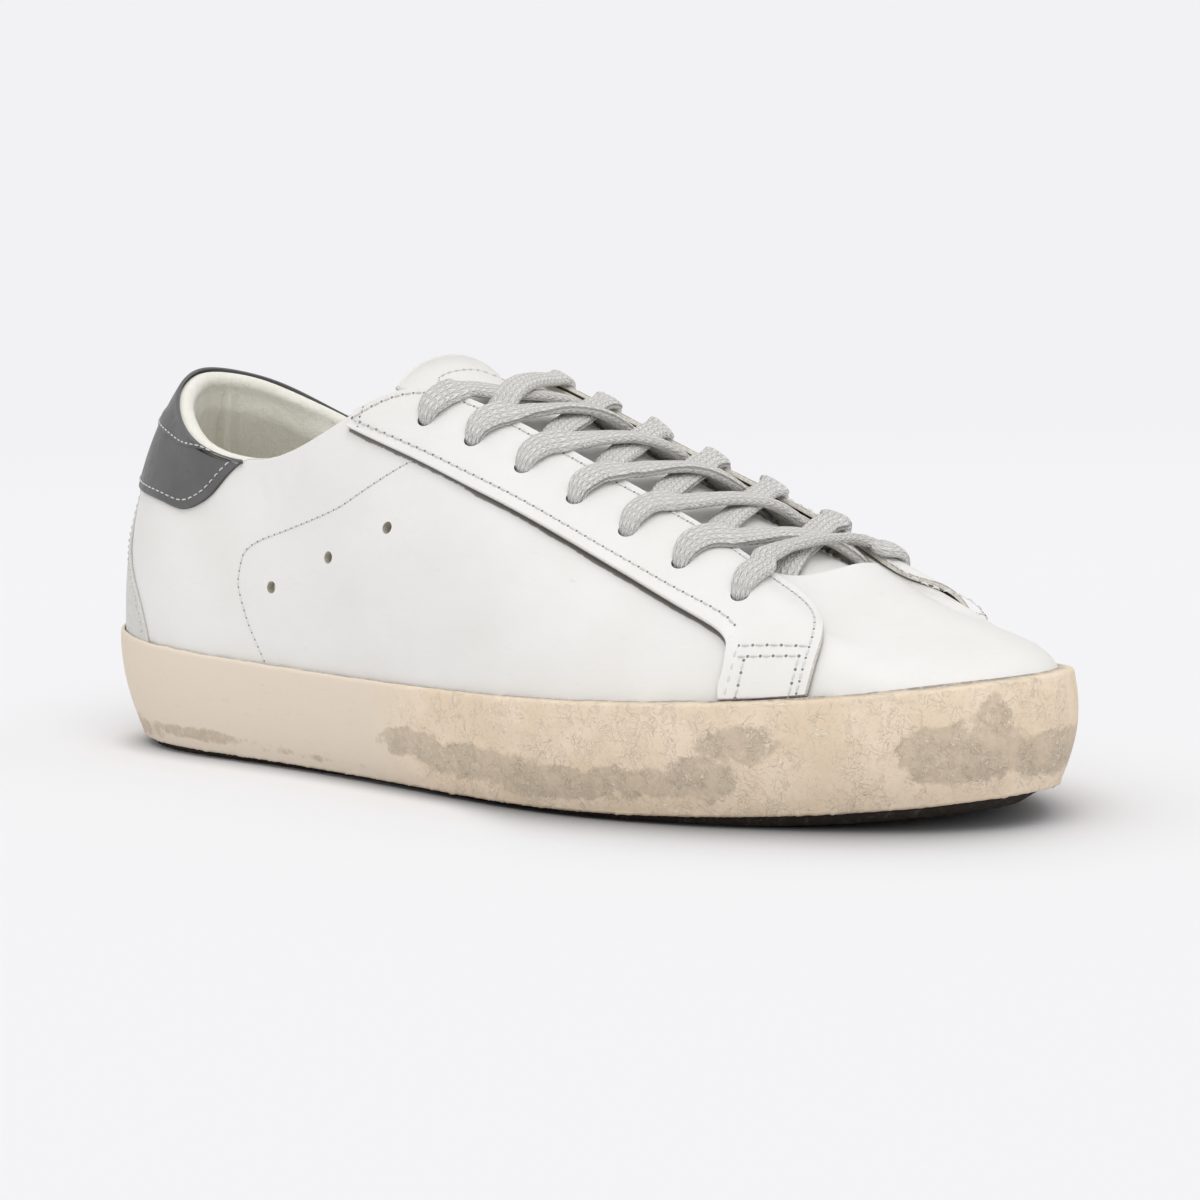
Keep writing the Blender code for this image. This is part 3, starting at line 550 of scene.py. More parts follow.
class MeshMaker:
    """Gathers points and faces in millimetres, then makes the object in the frame."""

    def __init__(self):
        self.points = []
        self.count = 0
        self.faces = []
        self.slots = []
        self.values = {}

    def add(self, points):
        """Adds points of any grid shape and returns their numbers in the same shape."""
        points = np.asarray(points, float)
        flat = points.reshape(-1, 3)
        numbers = np.arange(self.count, self.count + len(flat)).reshape(points.shape[:-1])
        self.points.append(flat)
        self.count += len(flat)
        return numbers

    def grid(self, numbers, closed=False, closed_across=False, slot=0):
        """Faces over a grid of points; closed joins its last row to its first, and so across."""
        if closed:
            numbers = np.concatenate((numbers, numbers[:1]))
        if closed_across:
            numbers = np.concatenate((numbers, numbers[:, :1]), axis=1)
        corners = numbers[:-1, :-1], numbers[1:, :-1], numbers[1:, 1:], numbers[:-1, 1:]
        faces = np.stack(corners, axis=-1).reshape(-1, 4)
        self.faces.extend(faces.tolist())
        self.slots.extend([slot] * len(faces))

    def strip(self, first, second):
        """Faces between two rows of points."""
        self.grid(np.stack((first, second), axis=1))

    def face(self, numbers, slot=0):
        self.faces.append([int(n) for n in numbers])
        self.slots.append(slot)

    def value(self, name, numbers, values):
        """Keeps a number for each of these points, which a finish can read by its name."""
        self.values.setdefault(name, []).append((numbers.ravel(), np.ravel(values)))

    def build(self, name, finishes, outward=True):
        mesh = bpy.data.meshes.new(name)
        points = (np.concatenate(self.points) + SHIFT) * MM
        mesh.from_pydata(points.tolist(), [], self.faces)
        mesh.polygons.foreach_set("material_index", self.slots)
        for finish in finishes:
            mesh.materials.append(finish)
        for key, parts in self.values.items():
            values = np.zeros(self.count, np.float32)
            for numbers, given in parts:
                values[numbers] = given
            mesh.attributes.new(key, "FLOAT", "POINT").data.foreach_set("value", values)
        if outward:
            work = bmesh.new()
            work.from_mesh(mesh)
            bmesh.ops.recalc_face_normals(work, faces=work.faces)
            work.to_mesh(mesh)
            work.free()
        mesh.shade_smooth()
        piece = bpy.data.objects.new(name, mesh)
        bpy.context.scene.collection.objects.link(piece)
        return piece


def settle(piece, angle=48.0):
    """Applies the piece's modifiers, and keeps the edges sharper than an angle crisp."""
    graph = bpy.context.evaluated_depsgraph_get()
    done = piece.evaluated_get(graph)
    mesh = bpy.data.meshes.new_from_object(done, preserve_all_data_layers=True, depsgraph=graph)
    piece.modifiers.clear()
    piece.data = mesh
    mesh.name = piece.name
    mesh.shade_smooth()
    mesh.set_sharp_from_angle(angle=math.radians(angle))


def punch(piece, places, diameter, both=True, segments=20, walls=None):
    """Cuts round holes square to the upper's outer face at each place; unless other walls are given, their
    walls take the dark needle-hole finish, painted shade.
    """
    work = bmesh.new()
    for _, around, up in places:
        for side in (around, 1 - around) if both else (around,):
            centre, normal, _ = (Vector(v) for v in upper_frame(side, up))
            turn = normal.to_track_quat("Z", "Y").to_matrix().to_4x4()
            bmesh.ops.create_cone(
                work,
                cap_ends=True,
                segments=segments,
                radius1=diameter / 2 * MM,
                radius2=diameter / 2 * MM,
                depth=16.0 * MM,
                matrix=Matrix.Translation((centre + Vector(SHIFT)) * MM) @ turn,
            )
    mesh = bpy.data.meshes.new("punch")
    mesh.materials.append(walls or needle_hole())
    work.to_mesh(mesh)
    work.free()
    cutter = bpy.data.objects.new("punch", mesh)
    bpy.context.scene.collection.objects.link(cutter)
    hole = piece.modifiers.new("holes", "BOOLEAN")
    hole.operation = "DIFFERENCE"
    hole.solver = "EXACT"
    hole.material_mode = "TRANSFER"
    hole.object = cutter
    settle(piece)
    bpy.data.objects.remove(cutter, do_unlink=True)
    bpy.data.meshes.remove(mesh)


def keep(piece, node=None):
    """Fixes a finished piece to the shoe, in place of its solid where it has one."""
    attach(piece, "root")
    if node:
        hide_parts(node)


# ---------------------------------------------------------------- finishes


def feed(tree, socket, value):
    if isinstance(value, bpy.types.NodeSocket):
        tree.links.new(value, socket)
    else:
        socket.default_value = value


def add_node(tree, kind, inputs=None, **settings):
    """Adds a node with its settings, and links or sets its inputs."""
    made = tree.nodes.new(kind)
    for setting, value in settings.items():
        setattr(made, setting, value)
    for socket, value in (inputs or {}).items():
        feed(tree, made.inputs[socket], value)
    return made


class Finish:
    """A material in the making: each method adds a node and gives its output."""

    def __init__(self, name, roughness=0.5, **constants):
        self.material = bpy.data.materials.new(name)
        self.material.use_nodes = True
        self.tree = self.material.node_tree
        self.shader = self.tree.nodes["Principled BSDF"]
        self.shader.inputs["Roughness"].default_value = roughness
        for socket, value in constants.items():
            self.shader.inputs[socket.replace("_", " ").title()].default_value = value
        coordinates = self.node("ShaderNodeTexCoord")
        self.place = self.vector("SCALE", coordinates.outputs["Object"], scale=1 / MM)

    def node(self, kind, inputs=None, **settings):
        return add_node(self.tree, kind, inputs, **settings)

    def vector(self, operation, first, second=None, scale=None):
        inputs = {0: first}
        if second is not None:
            inputs[1] = second
        if scale is not None:
            inputs["Scale"] = scale
        return self.node("ShaderNodeVectorMath", inputs, operation=operation).outputs["Vector"]

    def stretched(self, x, y, z):
        return self.vector("MULTIPLY", self.place, (x, y, z))

    def noise(self, scale, detail=3.0, roughness=0.5, distortion=0.0, place=None):
        inputs = {
            "Vector": place or self.place,
            "Scale": scale,
            "Detail": detail,
            "Roughness": roughness,
            "Distortion": distortion,
        }
        return self.node("ShaderNodeTexNoise", inputs).outputs["Fac"]

    def cells(self, scale, feature="F1", place=None, randomness=1.0):
        inputs = {"Vector": place or self.place, "Scale": scale, "Randomness": randomness}
        return self.node("ShaderNodeTexVoronoi", inputs, feature=feature).outputs["Distance"]

    def maths(self, operation, first, second=0.0, clamp=False):
        inputs = {0: first, 1: second}
        made = self.node("ShaderNodeMath", inputs, operation=operation, use_clamp=clamp)
        return made.outputs["Value"]

    def times(self, first, second):
        return self.maths("MULTIPLY", first, second)

    def plus(self, first, second, clamp=False):
        return self.maths("ADD", first, second, clamp)

    def between(self, value, low, high, start=0.0, end=1.0):
        """A smooth change from start at low to end at high."""
        inputs = {"Value": value, "From Min": low, "From Max": high, "To Min": start, "To Max": end}
        made = self.node("ShaderNodeMapRange", inputs, interpolation_type="SMOOTHSTEP")
        return made.outputs["Result"]

    def own(self, name):
        """A number that the mesh keeps for each of its points."""
        return self.node("ShaderNodeAttribute", attribute_name=name).outputs["Fac"]

    def blend(self, share, first, second, mode="MIX"):
        inputs = {0: share, 6: opaque(first), 7: opaque(second)}
        made = self.node("ShaderNodeMix", inputs, data_type="RGBA", blend_type=mode)
        return made.outputs[2]

    def colour(self, value):
        feed(self.tree, self.shader.inputs["Base Color"], opaque(value))

    def rough(self, value):
        feed(self.tree, self.shader.inputs["Roughness"], value)

    def bump(self, *layers):
        """Height layers as (height, depth in millimetres) pairs, coarse to fine."""
        normal = None
        for height, depth in layers:
            inputs = {"Strength": 1.0, "Distance": depth * MM, "Height": height}
            if normal:
                inputs["Normal"] = normal
            normal = self.node("ShaderNodeBump", inputs).outputs["Normal"]
        feed(self.tree, self.shader.inputs["Normal"], normal)


def opaque(value):
    if isinstance(value, bpy.types.NodeSocket):
        return value
    return (*value[:3], 1.0)


def tint(colour, share):
    """A colour made darker or lighter by a share."""
    return tuple(channel * share for channel in colour[:3])


def finish_once(make):
    """Makes a finish the first time that it is asked for, and gives the same one after that."""

    def given():
        name = make.__name__
        return bpy.data.materials.get(name) or make(name)

    return given


def colours():
    return bpy.context.scene.sneaker_colours


@finish_once
def white_leather(name):
    """Smooth coated leather with a fine grain and faint scuffs, raw, painted or dusty at its edges, with
    painted shade along and under the eyestays' edges.
    """
    finish = Finish(name, 0.42, coat_weight=0.12, coat_roughness=0.3)
    base = colours().white_leather
    cloud = finish.noise(0.035, 4.0, 0.6)
    tone = finish.blend(finish.between(cloud, 0.35, 0.7), base, tint(base, 0.965))
    warm = finish.between(finish.noise(0.018, 3.0), 0.45, 0.75, 0.0, 0.5)
    tone = finish.blend(warm, tone, (base[0] * 0.99, base[1] * 0.965, base[2] * 0.915))
    scuff = finish.noise(0.5, 5.0, 0.7, 0.6, finish.stretched(0.35, 0.35, 1.6))
    scuffed = finish.times(finish.between(scuff, 0.62, 0.78), 0.16)
    tone = finish.blend(scuffed, tone, colours().grime)
    # Dust and a painted shadow along the eyestays' loose lower edges.
    dust = finish.plus(finish.own("edge_dust"), finish.times(finish.noise(0.12, 4.0), 0.8))
    dust = finish.between(dust, 0.88, 1.12, 0.0, 0.85)
    tone = finish.blend(dust, tone, tint(colours().grime, 0.42))
    raw = finish.own("raw_edge")
    fibres = finish.between(finish.noise(1.3, 5.0, 0.7), 0.36, 0.64)
    fibres = finish.blend(fibres, tint(colours().cut_edge, 0.8), tint(colours().cut_edge, 1.15))
    tone = finish.blend(finish.between(raw, 0.35, 1.0, 0.0, 0.9), tone, fibres)
    painted = finish.own("edge_paint")
    paint = finish.times(finish.between(raw, 0.05, 0.2), finish.between(raw, 0.5, 0.8, 1.0, 0.0))
    paint = finish.times(painted, paint)
    flakes = finish.between(finish.noise(0.5, 5.0, 0.7), 0.36, 0.5, 0.25, 0.8)
    paint = finish.times(paint, flakes)
    tone = finish.blend(paint, tone, tint(colours().painted_edge, 1.6))
    # Painted shade on the very edges and undersides of the eyestays, where their edges are not painted.
    bare = finish.between(painted, 0.2, 0.8, 1.0, 0.0)
    shade = finish.times(finish.between(raw, 1.2, 1.7), bare)
    tone = finish.blend(shade, tone, tint(colours().grime, 0.35))
    finish.colour(finish.blend(finish.own("under_tab"), tone, colours().dark_leather))
    finish.rough(finish.between(finish.noise(0.4, 4.0), 0.3, 0.7, 0.36, 0.5))
    pores = finish.cells(1.5, "DISTANCE_TO_EDGE")
    finish.bump(
        (finish.noise(0.12, 3.0), 0.22),
        (finish.noise(0.9, 4.0, 0.6), 0.035),
        (finish.between(pores, 0.0, 0.12), 0.012),
    )
    return finish.material


@finish_once
def cut_edge(name):
    """The raw edge of white leather: cream fibres, greyed and darkened here and there."""
    finish = Finish(name, 0.85)
    base = colours().cut_edge
    fibres = finish.noise(2.2, 5.0, 0.7)
    tone = finish.blend(finish.between(fibres, 0.3, 0.7), tint(base, 0.82), tint(base, 1.08))
    stain = finish.between(finish.noise(0.16, 4.0, 0.7), 0.46, 0.62)
    finish.colour(finish.blend(finish.times(stain, 0.55), tone, colours().grime))
    finish.bump((finish.noise(1.2, 5.0, 0.7), 0.18))
    return finish.material


@finish_once
def dark_leather(name):
    """Smooth dark grey leather with soft gloss, paler where it is rubbed and black at its raw edge."""
    finish = Finish(name, 0.4, coat_weight=0.15, coat_roughness=0.35)
    base = colours().dark_leather
    cloud = finish.between(finish.noise(0.06, 4.0, 0.6), 0.35, 0.7)
    tone = finish.blend(cloud, tint(base, 0.92), tint(base, 1.14))
    rub = finish.between(finish.noise(0.8, 5.0, 0.7), 0.6, 0.8)
    tone = finish.blend(finish.times(rub, 0.25), tone, tint(base, 1.9))
    finish.colour(finish.blend(finish.between(finish.own("raw_edge"), 0.4, 1.2), tone, tint(base, 0.4)))
    finish.rough(finish.between(finish.noise(0.5, 4.0), 0.3, 0.7, 0.36, 0.5))
    finish.bump(
        (finish.noise(0.2, 3.0), 0.12),
        (finish.cells(1.6, "DISTANCE_TO_EDGE"), 0.02),
    )
    return finish.material


@finish_once
def grey_suede(name):
    """Suede: a short nap in grey, brushed lighter and darker, and darker at its raw edges."""
    finish = Finish(name, 0.95, sheen_weight=0.35, sheen_roughness=0.5)
    base = colours().suede
    nap = finish.noise(1.6, 6.0, 0.8)
    brushed = finish.noise(0.14, 4.0, 0.65, 0.5)
    tone = finish.blend(finish.between(nap, 0.32, 0.68), tint(base, 0.78), tint(base, 1.1))
    tone = finish.blend(finish.between(finish.own("raw_edge"), 0.5, 1.4), tone, tint(base, 0.7))
    tone = finish.blend(finish.between(brushed, 0.35, 0.65, 0.0, 0.5), tone, tint(base, 0.85))
    finish.colour(tone)
    finish.bump((finish.noise(0.5, 4.0, 0.7), 0.25), (finish.noise(3.0, 5.0, 0.8), 0.16))
    return finish.material


@finish_once
def cream_lining(name):
    """Felted cream cloth, a little matted and darker where a foot has rubbed it."""
    finish = Finish(name, 0.95, sheen_weight=0.3, sheen_roughness=0.6)
    base = colours().lining
    cloud = finish.between(finish.noise(0.09, 5.0, 0.7), 0.35, 0.68)
    tone = finish.blend(cloud, base, tint(base, 0.93))
    tuft = finish.between(finish.noise(0.9, 6.0, 0.75), 0.35, 0.65)
    finish.colour(finish.blend(tuft, tint(base, 0.93), tone))
    finish.bump((finish.noise(0.3, 5.0, 0.65), 0.5), (finish.noise(1.6, 5.0, 0.8), 0.22))
    return finish.material


@finish_once
def cream_rubber(name):
    """Aged cream rubber: fine pale crackle from the waist forward, rubbed-in grey dirt, and painted shade
    in its pits, its slot and under its lower edge.
    """
    finish = Finish(name, 0.72)
    base, rear = colours().rubber, colours().rubber_rear
    amount = finish.own("crackle")
    tone = finish.blend(amount, rear, base)
    cloud = finish.between(finish.noise(0.045, 5.0, 0.62), 0.36, 0.64, 0.0, 0.55)
    tone = finish.blend(finish.times(cloud, amount), tone, colours().rubber_stain)
    warp = finish.node("ShaderNodeTexNoise", {"Vector": finish.place, "Scale": 0.3, "Detail": 3.0})
    bent = finish.vector("ADD", finish.place, finish.vector("SCALE", warp.outputs["Color"], scale=4.0))
    hair = finish.noise(0.3, 3.0, 0.62, 1.4, bent)
    line = finish.maths("ABSOLUTE", finish.maths("SUBTRACT", hair, 0.5))
    broken = finish.between(finish.noise(0.16, 4.0, 0.6), 0.4, 0.56, 0.15, 1.0)
    line = finish.times(finish.between(line, 0.006, 0.03, 1.0, 0.0), broken)
    stroke = finish.times(line, amount)
    pits = finish.between(finish.noise(0.9, 5.0, 0.75, 0.6, bent), 0.54, 0.66)
    pits = finish.times(pits, amount)
    # Painted shade: the pits, sunk in the bump, are coloured darker.
    tone = finish.blend(finish.times(pits, 0.35), tone, tint(base, 0.8))
    tone = finish.blend(finish.times(stroke, 0.6), tone, colours().rubber_ridge)
    ragged = finish.noise(0.17, 9.0, 0.66, 0.4, bent)
    edge = finish.plus(finish.own("dirt"), finish.times(ragged, 1.1))
    dirty = finish.between(edge, 0.93, 1.13)
    gaps = finish.between(finish.noise(0.6, 6.0, 0.75, 0.8, bent), 0.34, 0.56, 0.62, 1.0)
    dirty = finish.times(dirty, gaps)
    kept = finish.times(stroke, finish.times(dirty, -0.6))
    dirty = finish.plus(dirty, kept, clamp=True)
    shade = finish.between(finish.noise(0.16, 5.0, 0.7), 0.36, 0.64)
    soil = finish.blend(shade, tint(colours().rubber_dirt, 1.06), tint(colours().rubber_dirt, 0.86))
    tone = finish.blend(finish.times(dirty, 0.85), tone, soil)
    scratch = finish.noise(0.5, 5.0, 0.75, 0.4, finish.stretched(0.35, 0.35, 1.5))
    scratch = finish.times(finish.between(scratch, 0.58, 0.7), 0.22)
    tone = finish.blend(scratch, tone, colours().rubber_dirt)
    # Dust and painted shade in the slot round the upper and under the sole's lower edge.
    crevice = finish.between(finish.own("crevice"), 0.0, 1.0)
    crevice = finish.times(crevice, finish.between(finish.noise(0.35, 5.0, 0.7), 0.34, 0.58))
    tone = finish.blend(finish.times(crevice, 0.85), tone, colours().grime)
    finish.colour(tone)
    finish.rough(finish.between(finish.noise(0.8, 4.0), 0.3, 0.7, 0.62, 0.85))
    finish.bump(
        (finish.noise(0.3, 4.0, 0.6), 0.10),
        (stroke, 0.09),
        (finish.maths("SUBTRACT", 1.0, pits), 0.03),
        (finish.noise(2.4, 4.0, 0.7), 0.025),
    )
    return finish.material


@finish_once
def brown_tread(name):
    """Very dark brown rubber, darkened to nearly black as painted shade under the sole, and dusty where it
    wears.
    """
    finish = Finish(name, 0.9)
    base = colours().tread
    dust = finish.between(finish.noise(0.35, 6.0, 0.75), 0.5, 0.78, 0.0, 0.6)
    tone = finish.blend(dust, base, tint(colours().rubber_dirt, 0.4))
    finish.colour(tone)
    finish.bump((finish.noise(0.6, 5.0, 0.7), 0.3), (finish.noise(2.5, 5.0, 0.8), 0.18))
    return finish.material


@finish_once
def thread(name):
    finish = Finish(name, 0.8)
    base = colours().thread
    twist = finish.noise(2.5, 3.0, 0.6)
    finish.colour(finish.blend(finish.between(twist, 0.35, 0.65), tint(base, 0.62), base))
    return finish.material


@finish_once
def white_thread(name):
    finish = Finish(name, 0.8)
    base = tint(colours().white_leather, 0.93)
    twist = finish.noise(2.5, 3.0, 0.6)
    finish.colour(finish.blend(finish.between(twist, 0.35, 0.65), tint(base, 0.9), base))
    return finish.material


@finish_once
def needle_hole(name):
    finish = Finish(name, 0.95)
    # Painted shade: needle holes and eyelet walls are coloured dark in place of the shade inside them.
    hole_shade = finish.noise(1.5, 2.0)
    finish.colour(finish.blend(hole_shade, (0.16, 0.152, 0.14), (0.32, 0.31, 0.29)))
    return finish.material


LACE_COLUMN, LACE_PITCH, LACE_SLANT = 1.7, 2.2, 1.6


@finish_once
def grey_cotton(name):
    """Flat braided cotton: columns of long slanted strands along the lace, with painted shade between them,
    slightly fuzzy.
    """
    finish = Finish(name, 0.95, sheen_weight=0.25, sheen_roughness=0.6)
    base = colours().lace
    across = finish.maths("FRACT", finish.maths("DIVIDE", finish.own("lace_across"), LACE_COLUMN))
    from_middle = finish.maths("ABSOLUTE", finish.maths("SUBTRACT", across, 0.5))
    slant = finish.maths("DIVIDE", finish.own("lace_along"), LACE_PITCH)
    slant = finish.plus(slant, finish.times(from_middle, LACE_SLANT))
    slant = finish.plus(slant, finish.times(finish.noise(0.5, 2.0), 0.5))
    wave = finish.maths("SINE", finish.times(slant, 2 * math.pi))
    strand = finish.plus(finish.times(wave, 0.5), 0.5)
    column = finish.between(from_middle, 0.32, 0.5, 1.0, 0.25)
    weave = finish.times(finish.plus(finish.times(strand, 0.75), 0.25), column)
    fuzz = finish.noise(2.2, 5.0, 0.75)
    # Painted shade: the low parts of the braid between the strands are coloured darker.
    tone = finish.blend(finish.between(weave, 0.05, 0.7), tint(base, 0.52), tint(base, 1.08))
    tone = finish.blend(finish.between(fuzz, 0.35, 0.7, 0.0, 0.4), tone, tint(base, 1.2))
    worn = finish.between(finish.noise(0.12, 3.0), 0.4, 0.7, 0.0, 0.3)
    finish.colour(finish.blend(worn, tone, tint(base, 0.88)))
    finish.bump((weave, 0.4), (fuzz, 0.22))
    return finish.material


# ---------------------------------------------------------------- stitching

STITCH_RINGS = 5
STITCH_SIDES = 6


def evenly(line, step):
    """Points at even steps along a line, with the numbers of the parts that they fall in."""
    lengths = np.concatenate(((0.0,), np.cumsum(np.linalg.norm(np.diff(line, axis=0), axis=1))))
    count = max(2, int(round(lengths[-1] / step)) + 1)
    wanted = np.linspace(0, lengths[-1], count)
    return np.interp(wanted, lengths, np.arange(len(line)))


def sample(values, places):
    """Rows of values at places between them."""
    index = np.arange(len(values))
    return np.stack([np.interp(places, index, column) for column in values.T], axis=-1)


def stitch_row(threads, holes, points, normals, pitch, radius=0.3, hole=0.3, share=0.7):
    """Adds a row of stitches along points on a surface, with a flat dark disc at each needle hole as
    painted shade.
    """
    places = evenly(points, pitch)
    spots = sample(points, places)
    outs = unit(sample(normals, places))
    start, end = spots[:-1], spots[1:]
    out = unit(outs[:-1] + outs[1:])
    along = unit(end - start)
    side = unit(np.cross(along, out))
    turn = np.linspace(0, 2 * math.pi, STITCH_SIDES, endpoint=False)
    rings = []
    for i in range(STITCH_RINGS):
        t = i / (STITCH_RINGS - 1)
        place = 0.5 + (t - 0.5) * share
        height = radius * (1.5 * math.sin(math.pi * t) ** 0.6 - 0.5)
        size = radius * (0.45 + 0.55 * math.sin(math.pi * t) ** 0.5)
        centre = start * (1 - place) + end * place + out * height
        ring = np.cos(turn)[:, None, None] * side * size + np.sin(turn)[:, None, None] * out * size
        rings.append(centre + ring)
    grid = threads.add(np.moveaxis(np.array(rings), 2, 0))
    for one in grid:
        threads.grid(one, closed_across=True)
        threads.face(one[0])
        threads.face(one[-1])
    flat = unit(np.cross(outs, np.roll(outs, 1, axis=1) + 0.3))
    other = np.cross(outs, flat)
    turn = np.linspace(0, 2 * math.pi, 7, endpoint=False)[:, None, None]
    ring = spots + outs * 0.015 + (np.cos(turn) * flat + np.sin(turn) * other) * hole
    # A flat dark disc at each needle hole, painted shade.
    middle = holes.add(spots + outs * 0.05)
    ring = holes.add(ring)
    for spot in range(len(spots)):
        for corner in range(7):
            holes.face((middle[spot], ring[corner, spot], ring[(corner + 1) % 7, spot]))


def sew(name, stitch, finish, pierced=True):
    """Builds the stitches that a function lays down and, where they show, the dark discs of painted shade
    at their needle holes.
    """
    threads, holes = MeshMaker(), MeshMaker()
    stitch(threads, holes)
    keep(threads.build("stitches_" + name, [finish]))
    if pierced:
        keep(holes.build("needle_hole_shades_" + name, [needle_hole()]))


def row_on_upper(threads, holes, places, pitch, lift, radius=0.3, hole=0.3):
    """Adds stitches along (around, up) places, lying on a layer that is that much proud."""
    fine = spline(np.arange(len(places)), places)(np.linspace(0, len(places) - 1, 12 * len(places)))
    point, normal, _ = upper_frame(fine[:, 0], fine[:, 1])
    if np.ndim(lift):
        lift = np.interp(np.linspace(0, 1, len(fine)), np.linspace(0, 1, len(lift)), lift)[:, None]
    stitch_row(threads, holes, point + normal * lift, normal, pitch, radius, hole)


def beside(edge, other, distance):
    """(around, up) places that run beside an edge, that many millimetres from it towards the other."""
    point = upper_at(edge[:, 0], edge[:, 1])
    across = upper_at(other[:, 0], other[:, 1]) - point
    along = unit(np.gradient(point, axis=0))
    square = np.linalg.norm(np.cross(across, along), axis=1)
    return edge + (other - edge) * np.clip(distance / square, 0, 1)[:, None]


def distance_in(points):
    """How far each point of a grid lies from the grid's nearest edge, along its rows and columns."""
    nearest = np.inf
    for axis in (0, 1):
        steps = np.linalg.norm(np.diff(points, axis=axis), axis=-1)
        first = np.insert(np.cumsum(steps, axis=axis), 0, 0.0, axis=axis)
        last = np.take(first, [-1], axis=axis) - first
        nearest = np.minimum(nearest, np.minimum(first, last))
    return nearest


def overlay_sheet(name, places, base, thickness, finish, soft=0.6, paint=0.0):
    """A layer over the upper with a rounded edge; it thins to nothing where it comes to a point."""
    point, normal, _ = upper_frame(places[..., 0], places[..., 1])
    inside = distance_in(point)
    rounded = round_off(inside, soft)
    under = point + normal * np.broadcast_to(base, inside.shape)[..., None]
    over = under + normal * (0.03 + thickness * rounded)[..., None]
    maker = MeshMaker()
    over_n, under_n = maker.add(over), maker.add(under)
    maker.grid(over_n)
    maker.grid(under_n[:, ::-1])
    rim = (over_n[0], over_n[-1], over_n[:, 0], over_n[:, -1])
    for high, low in zip(rim, (under_n[0], under_n[-1], under_n[:, 0], under_n[:, -1])):
        maker.strip(high, low)
    maker.value("raw_edge", over_n, 2 * (1 - rounded))
    maker.value("raw_edge", under_n, np.full(inside.shape, 2.0))
    maker.value("edge_paint", over_n, np.broadcast_to(paint, inside.shape))
    return maker.build(name, [finish])


# ---------------------------------------------------------------- upper

TOP_ROUND = 0.3
COLLAR_ROLL, THROAT_LINING = 1.7, 0.45
COLLAR_END, THROAT_START = 0.255, 0.285


def tab_cover(around):
    """1 where the heel's dark leather folds over the collar, 0 elsewhere."""
    return 1 - smooth_step(from_heel(around), TAB_END - 0.004, TAB_END + 0.006)


def leather_top(around):
    """The up at which the upper's leather starts to round over into its edge."""
    radius = LEATHER / 2 + 1.5 * tab_cover(around)
    return 1 - (radius - TOP_ROUND) / rib_length(around)


def round_over(around, up, outer, radius, angles):
    """Points round an edge: from the outer face, over the top, to the inner face."""
    point, normal, rise = upper_frame(around, up)
    centre = point + normal * (outer - radius)[..., None]
    across = np.cos(angles)[..., None] * normal + np.sin(angles)[..., None] * rise
    return centre + across * radius[..., None]


AROUND_STEPS, LEATHER_ROWS, LEATHER_FOOT = 640, 96, -0.09
LINING_STEPS, LINING_ROWS, LINING_FOOT = 420, 56, -0.5
LINING_SEAM = 0.022


def edge_dust(points, around):
    """1 on the leather along the loose lower edge of each eyestay, for dust and a painted shadow under the
    edge.
    """
    edge = eyestay_edges()[1][2 : int(LOOSE_END * EYESTAY_ALONG)]
    dust = np.zeros(points.shape[:-1])
    for places in (edge, mirrored(edge)):
        line = upper_at(places[:, 0], places[:, 1])
        low, high = places[:, 0].min() - 0.01, places[:, 0].max() + 0.01
        near = (around > low) & (around < high)
        spots = points[near]
        nearest = np.full(len(spots), np.inf)
        for start in range(0, len(line), 20):
            gaps = np.linalg.norm(spots[:, None] - line[start : start + 20], axis=-1).min(axis=1)
            nearest = np.minimum(nearest, gaps)
        dust[near] = np.exp(-((nearest / 1.1) ** 2))
    return dust


def make_upper_leather():
    """The leather skin of the upper, folded in over its top edge, with its holes."""
    around = np.arange(AROUND_STEPS)[:, None] / AROUND_STEPS
    top = leather_top(around)
    shares = np.linspace(0, 1, LEATHER_ROWS) ** 0.97
    up = LEATHER_FOOT + (top - LEATHER_FOOT) * shares
    flat = upper_at(around, up)
    raised = relief(flat.reshape(-1, 3), np.broadcast_to(around, up.shape).ravel()).reshape(up.shape)
    raised += 0.05 * ripple(flat, 14.0, 2)
    raised *= 1 - smooth_step(up, 0.93, 1.0)
    outer = flat + upper_frame(around, up)[1] * raised[..., None]
    half = np.full(around.shape, LEATHER / 2)
    angles = np.linspace(0, math.pi, 7)[1:]
    top_rows = round_over(around, top, np.zeros(around.shape), half, angles[None, :])
    inner_up = top + (LEATHER_FOOT - top) * np.linspace(0, 1, 9)[1:]
    inner = upper_at(around, inner_up, -LEATHER)
    maker = MeshMaker()
    outer_n, top_n, inner_n = maker.add(outer), maker.add(top_rows), maker.add(inner)
    maker.value("edge_dust", outer_n, edge_dust(flat, np.broadcast_to(around, up.shape)))
    covered = 1 - smooth_step(from_heel(around), TAB_END - 0.012, TAB_END - 0.006)
    maker.value("under_tab", outer_n, covered * smooth_step(up, 0.95, 0.97))
    maker.value("under_tab", top_n, covered * np.ones(top_rows.shape[:-1]))
    maker.grid(np.concatenate((outer_n, top_n[:, :1]), axis=1), closed=True)
    maker.grid(top_n, closed=True, slot=1)
    maker.grid(np.concatenate((top_n[:, -1:], inner_n, outer_n[:, :1]), axis=1), closed=True, slot=1)
    leather = maker.build("upper_leather", [white_leather(), cut_edge()])
    punch(leather, EYELETS, EYELET_DIAMETER)
    punch(leather, VENTS, VENT_DIAMETER, both=False, segments=24, walls=cut_edge())
    keep(leather, "upper")


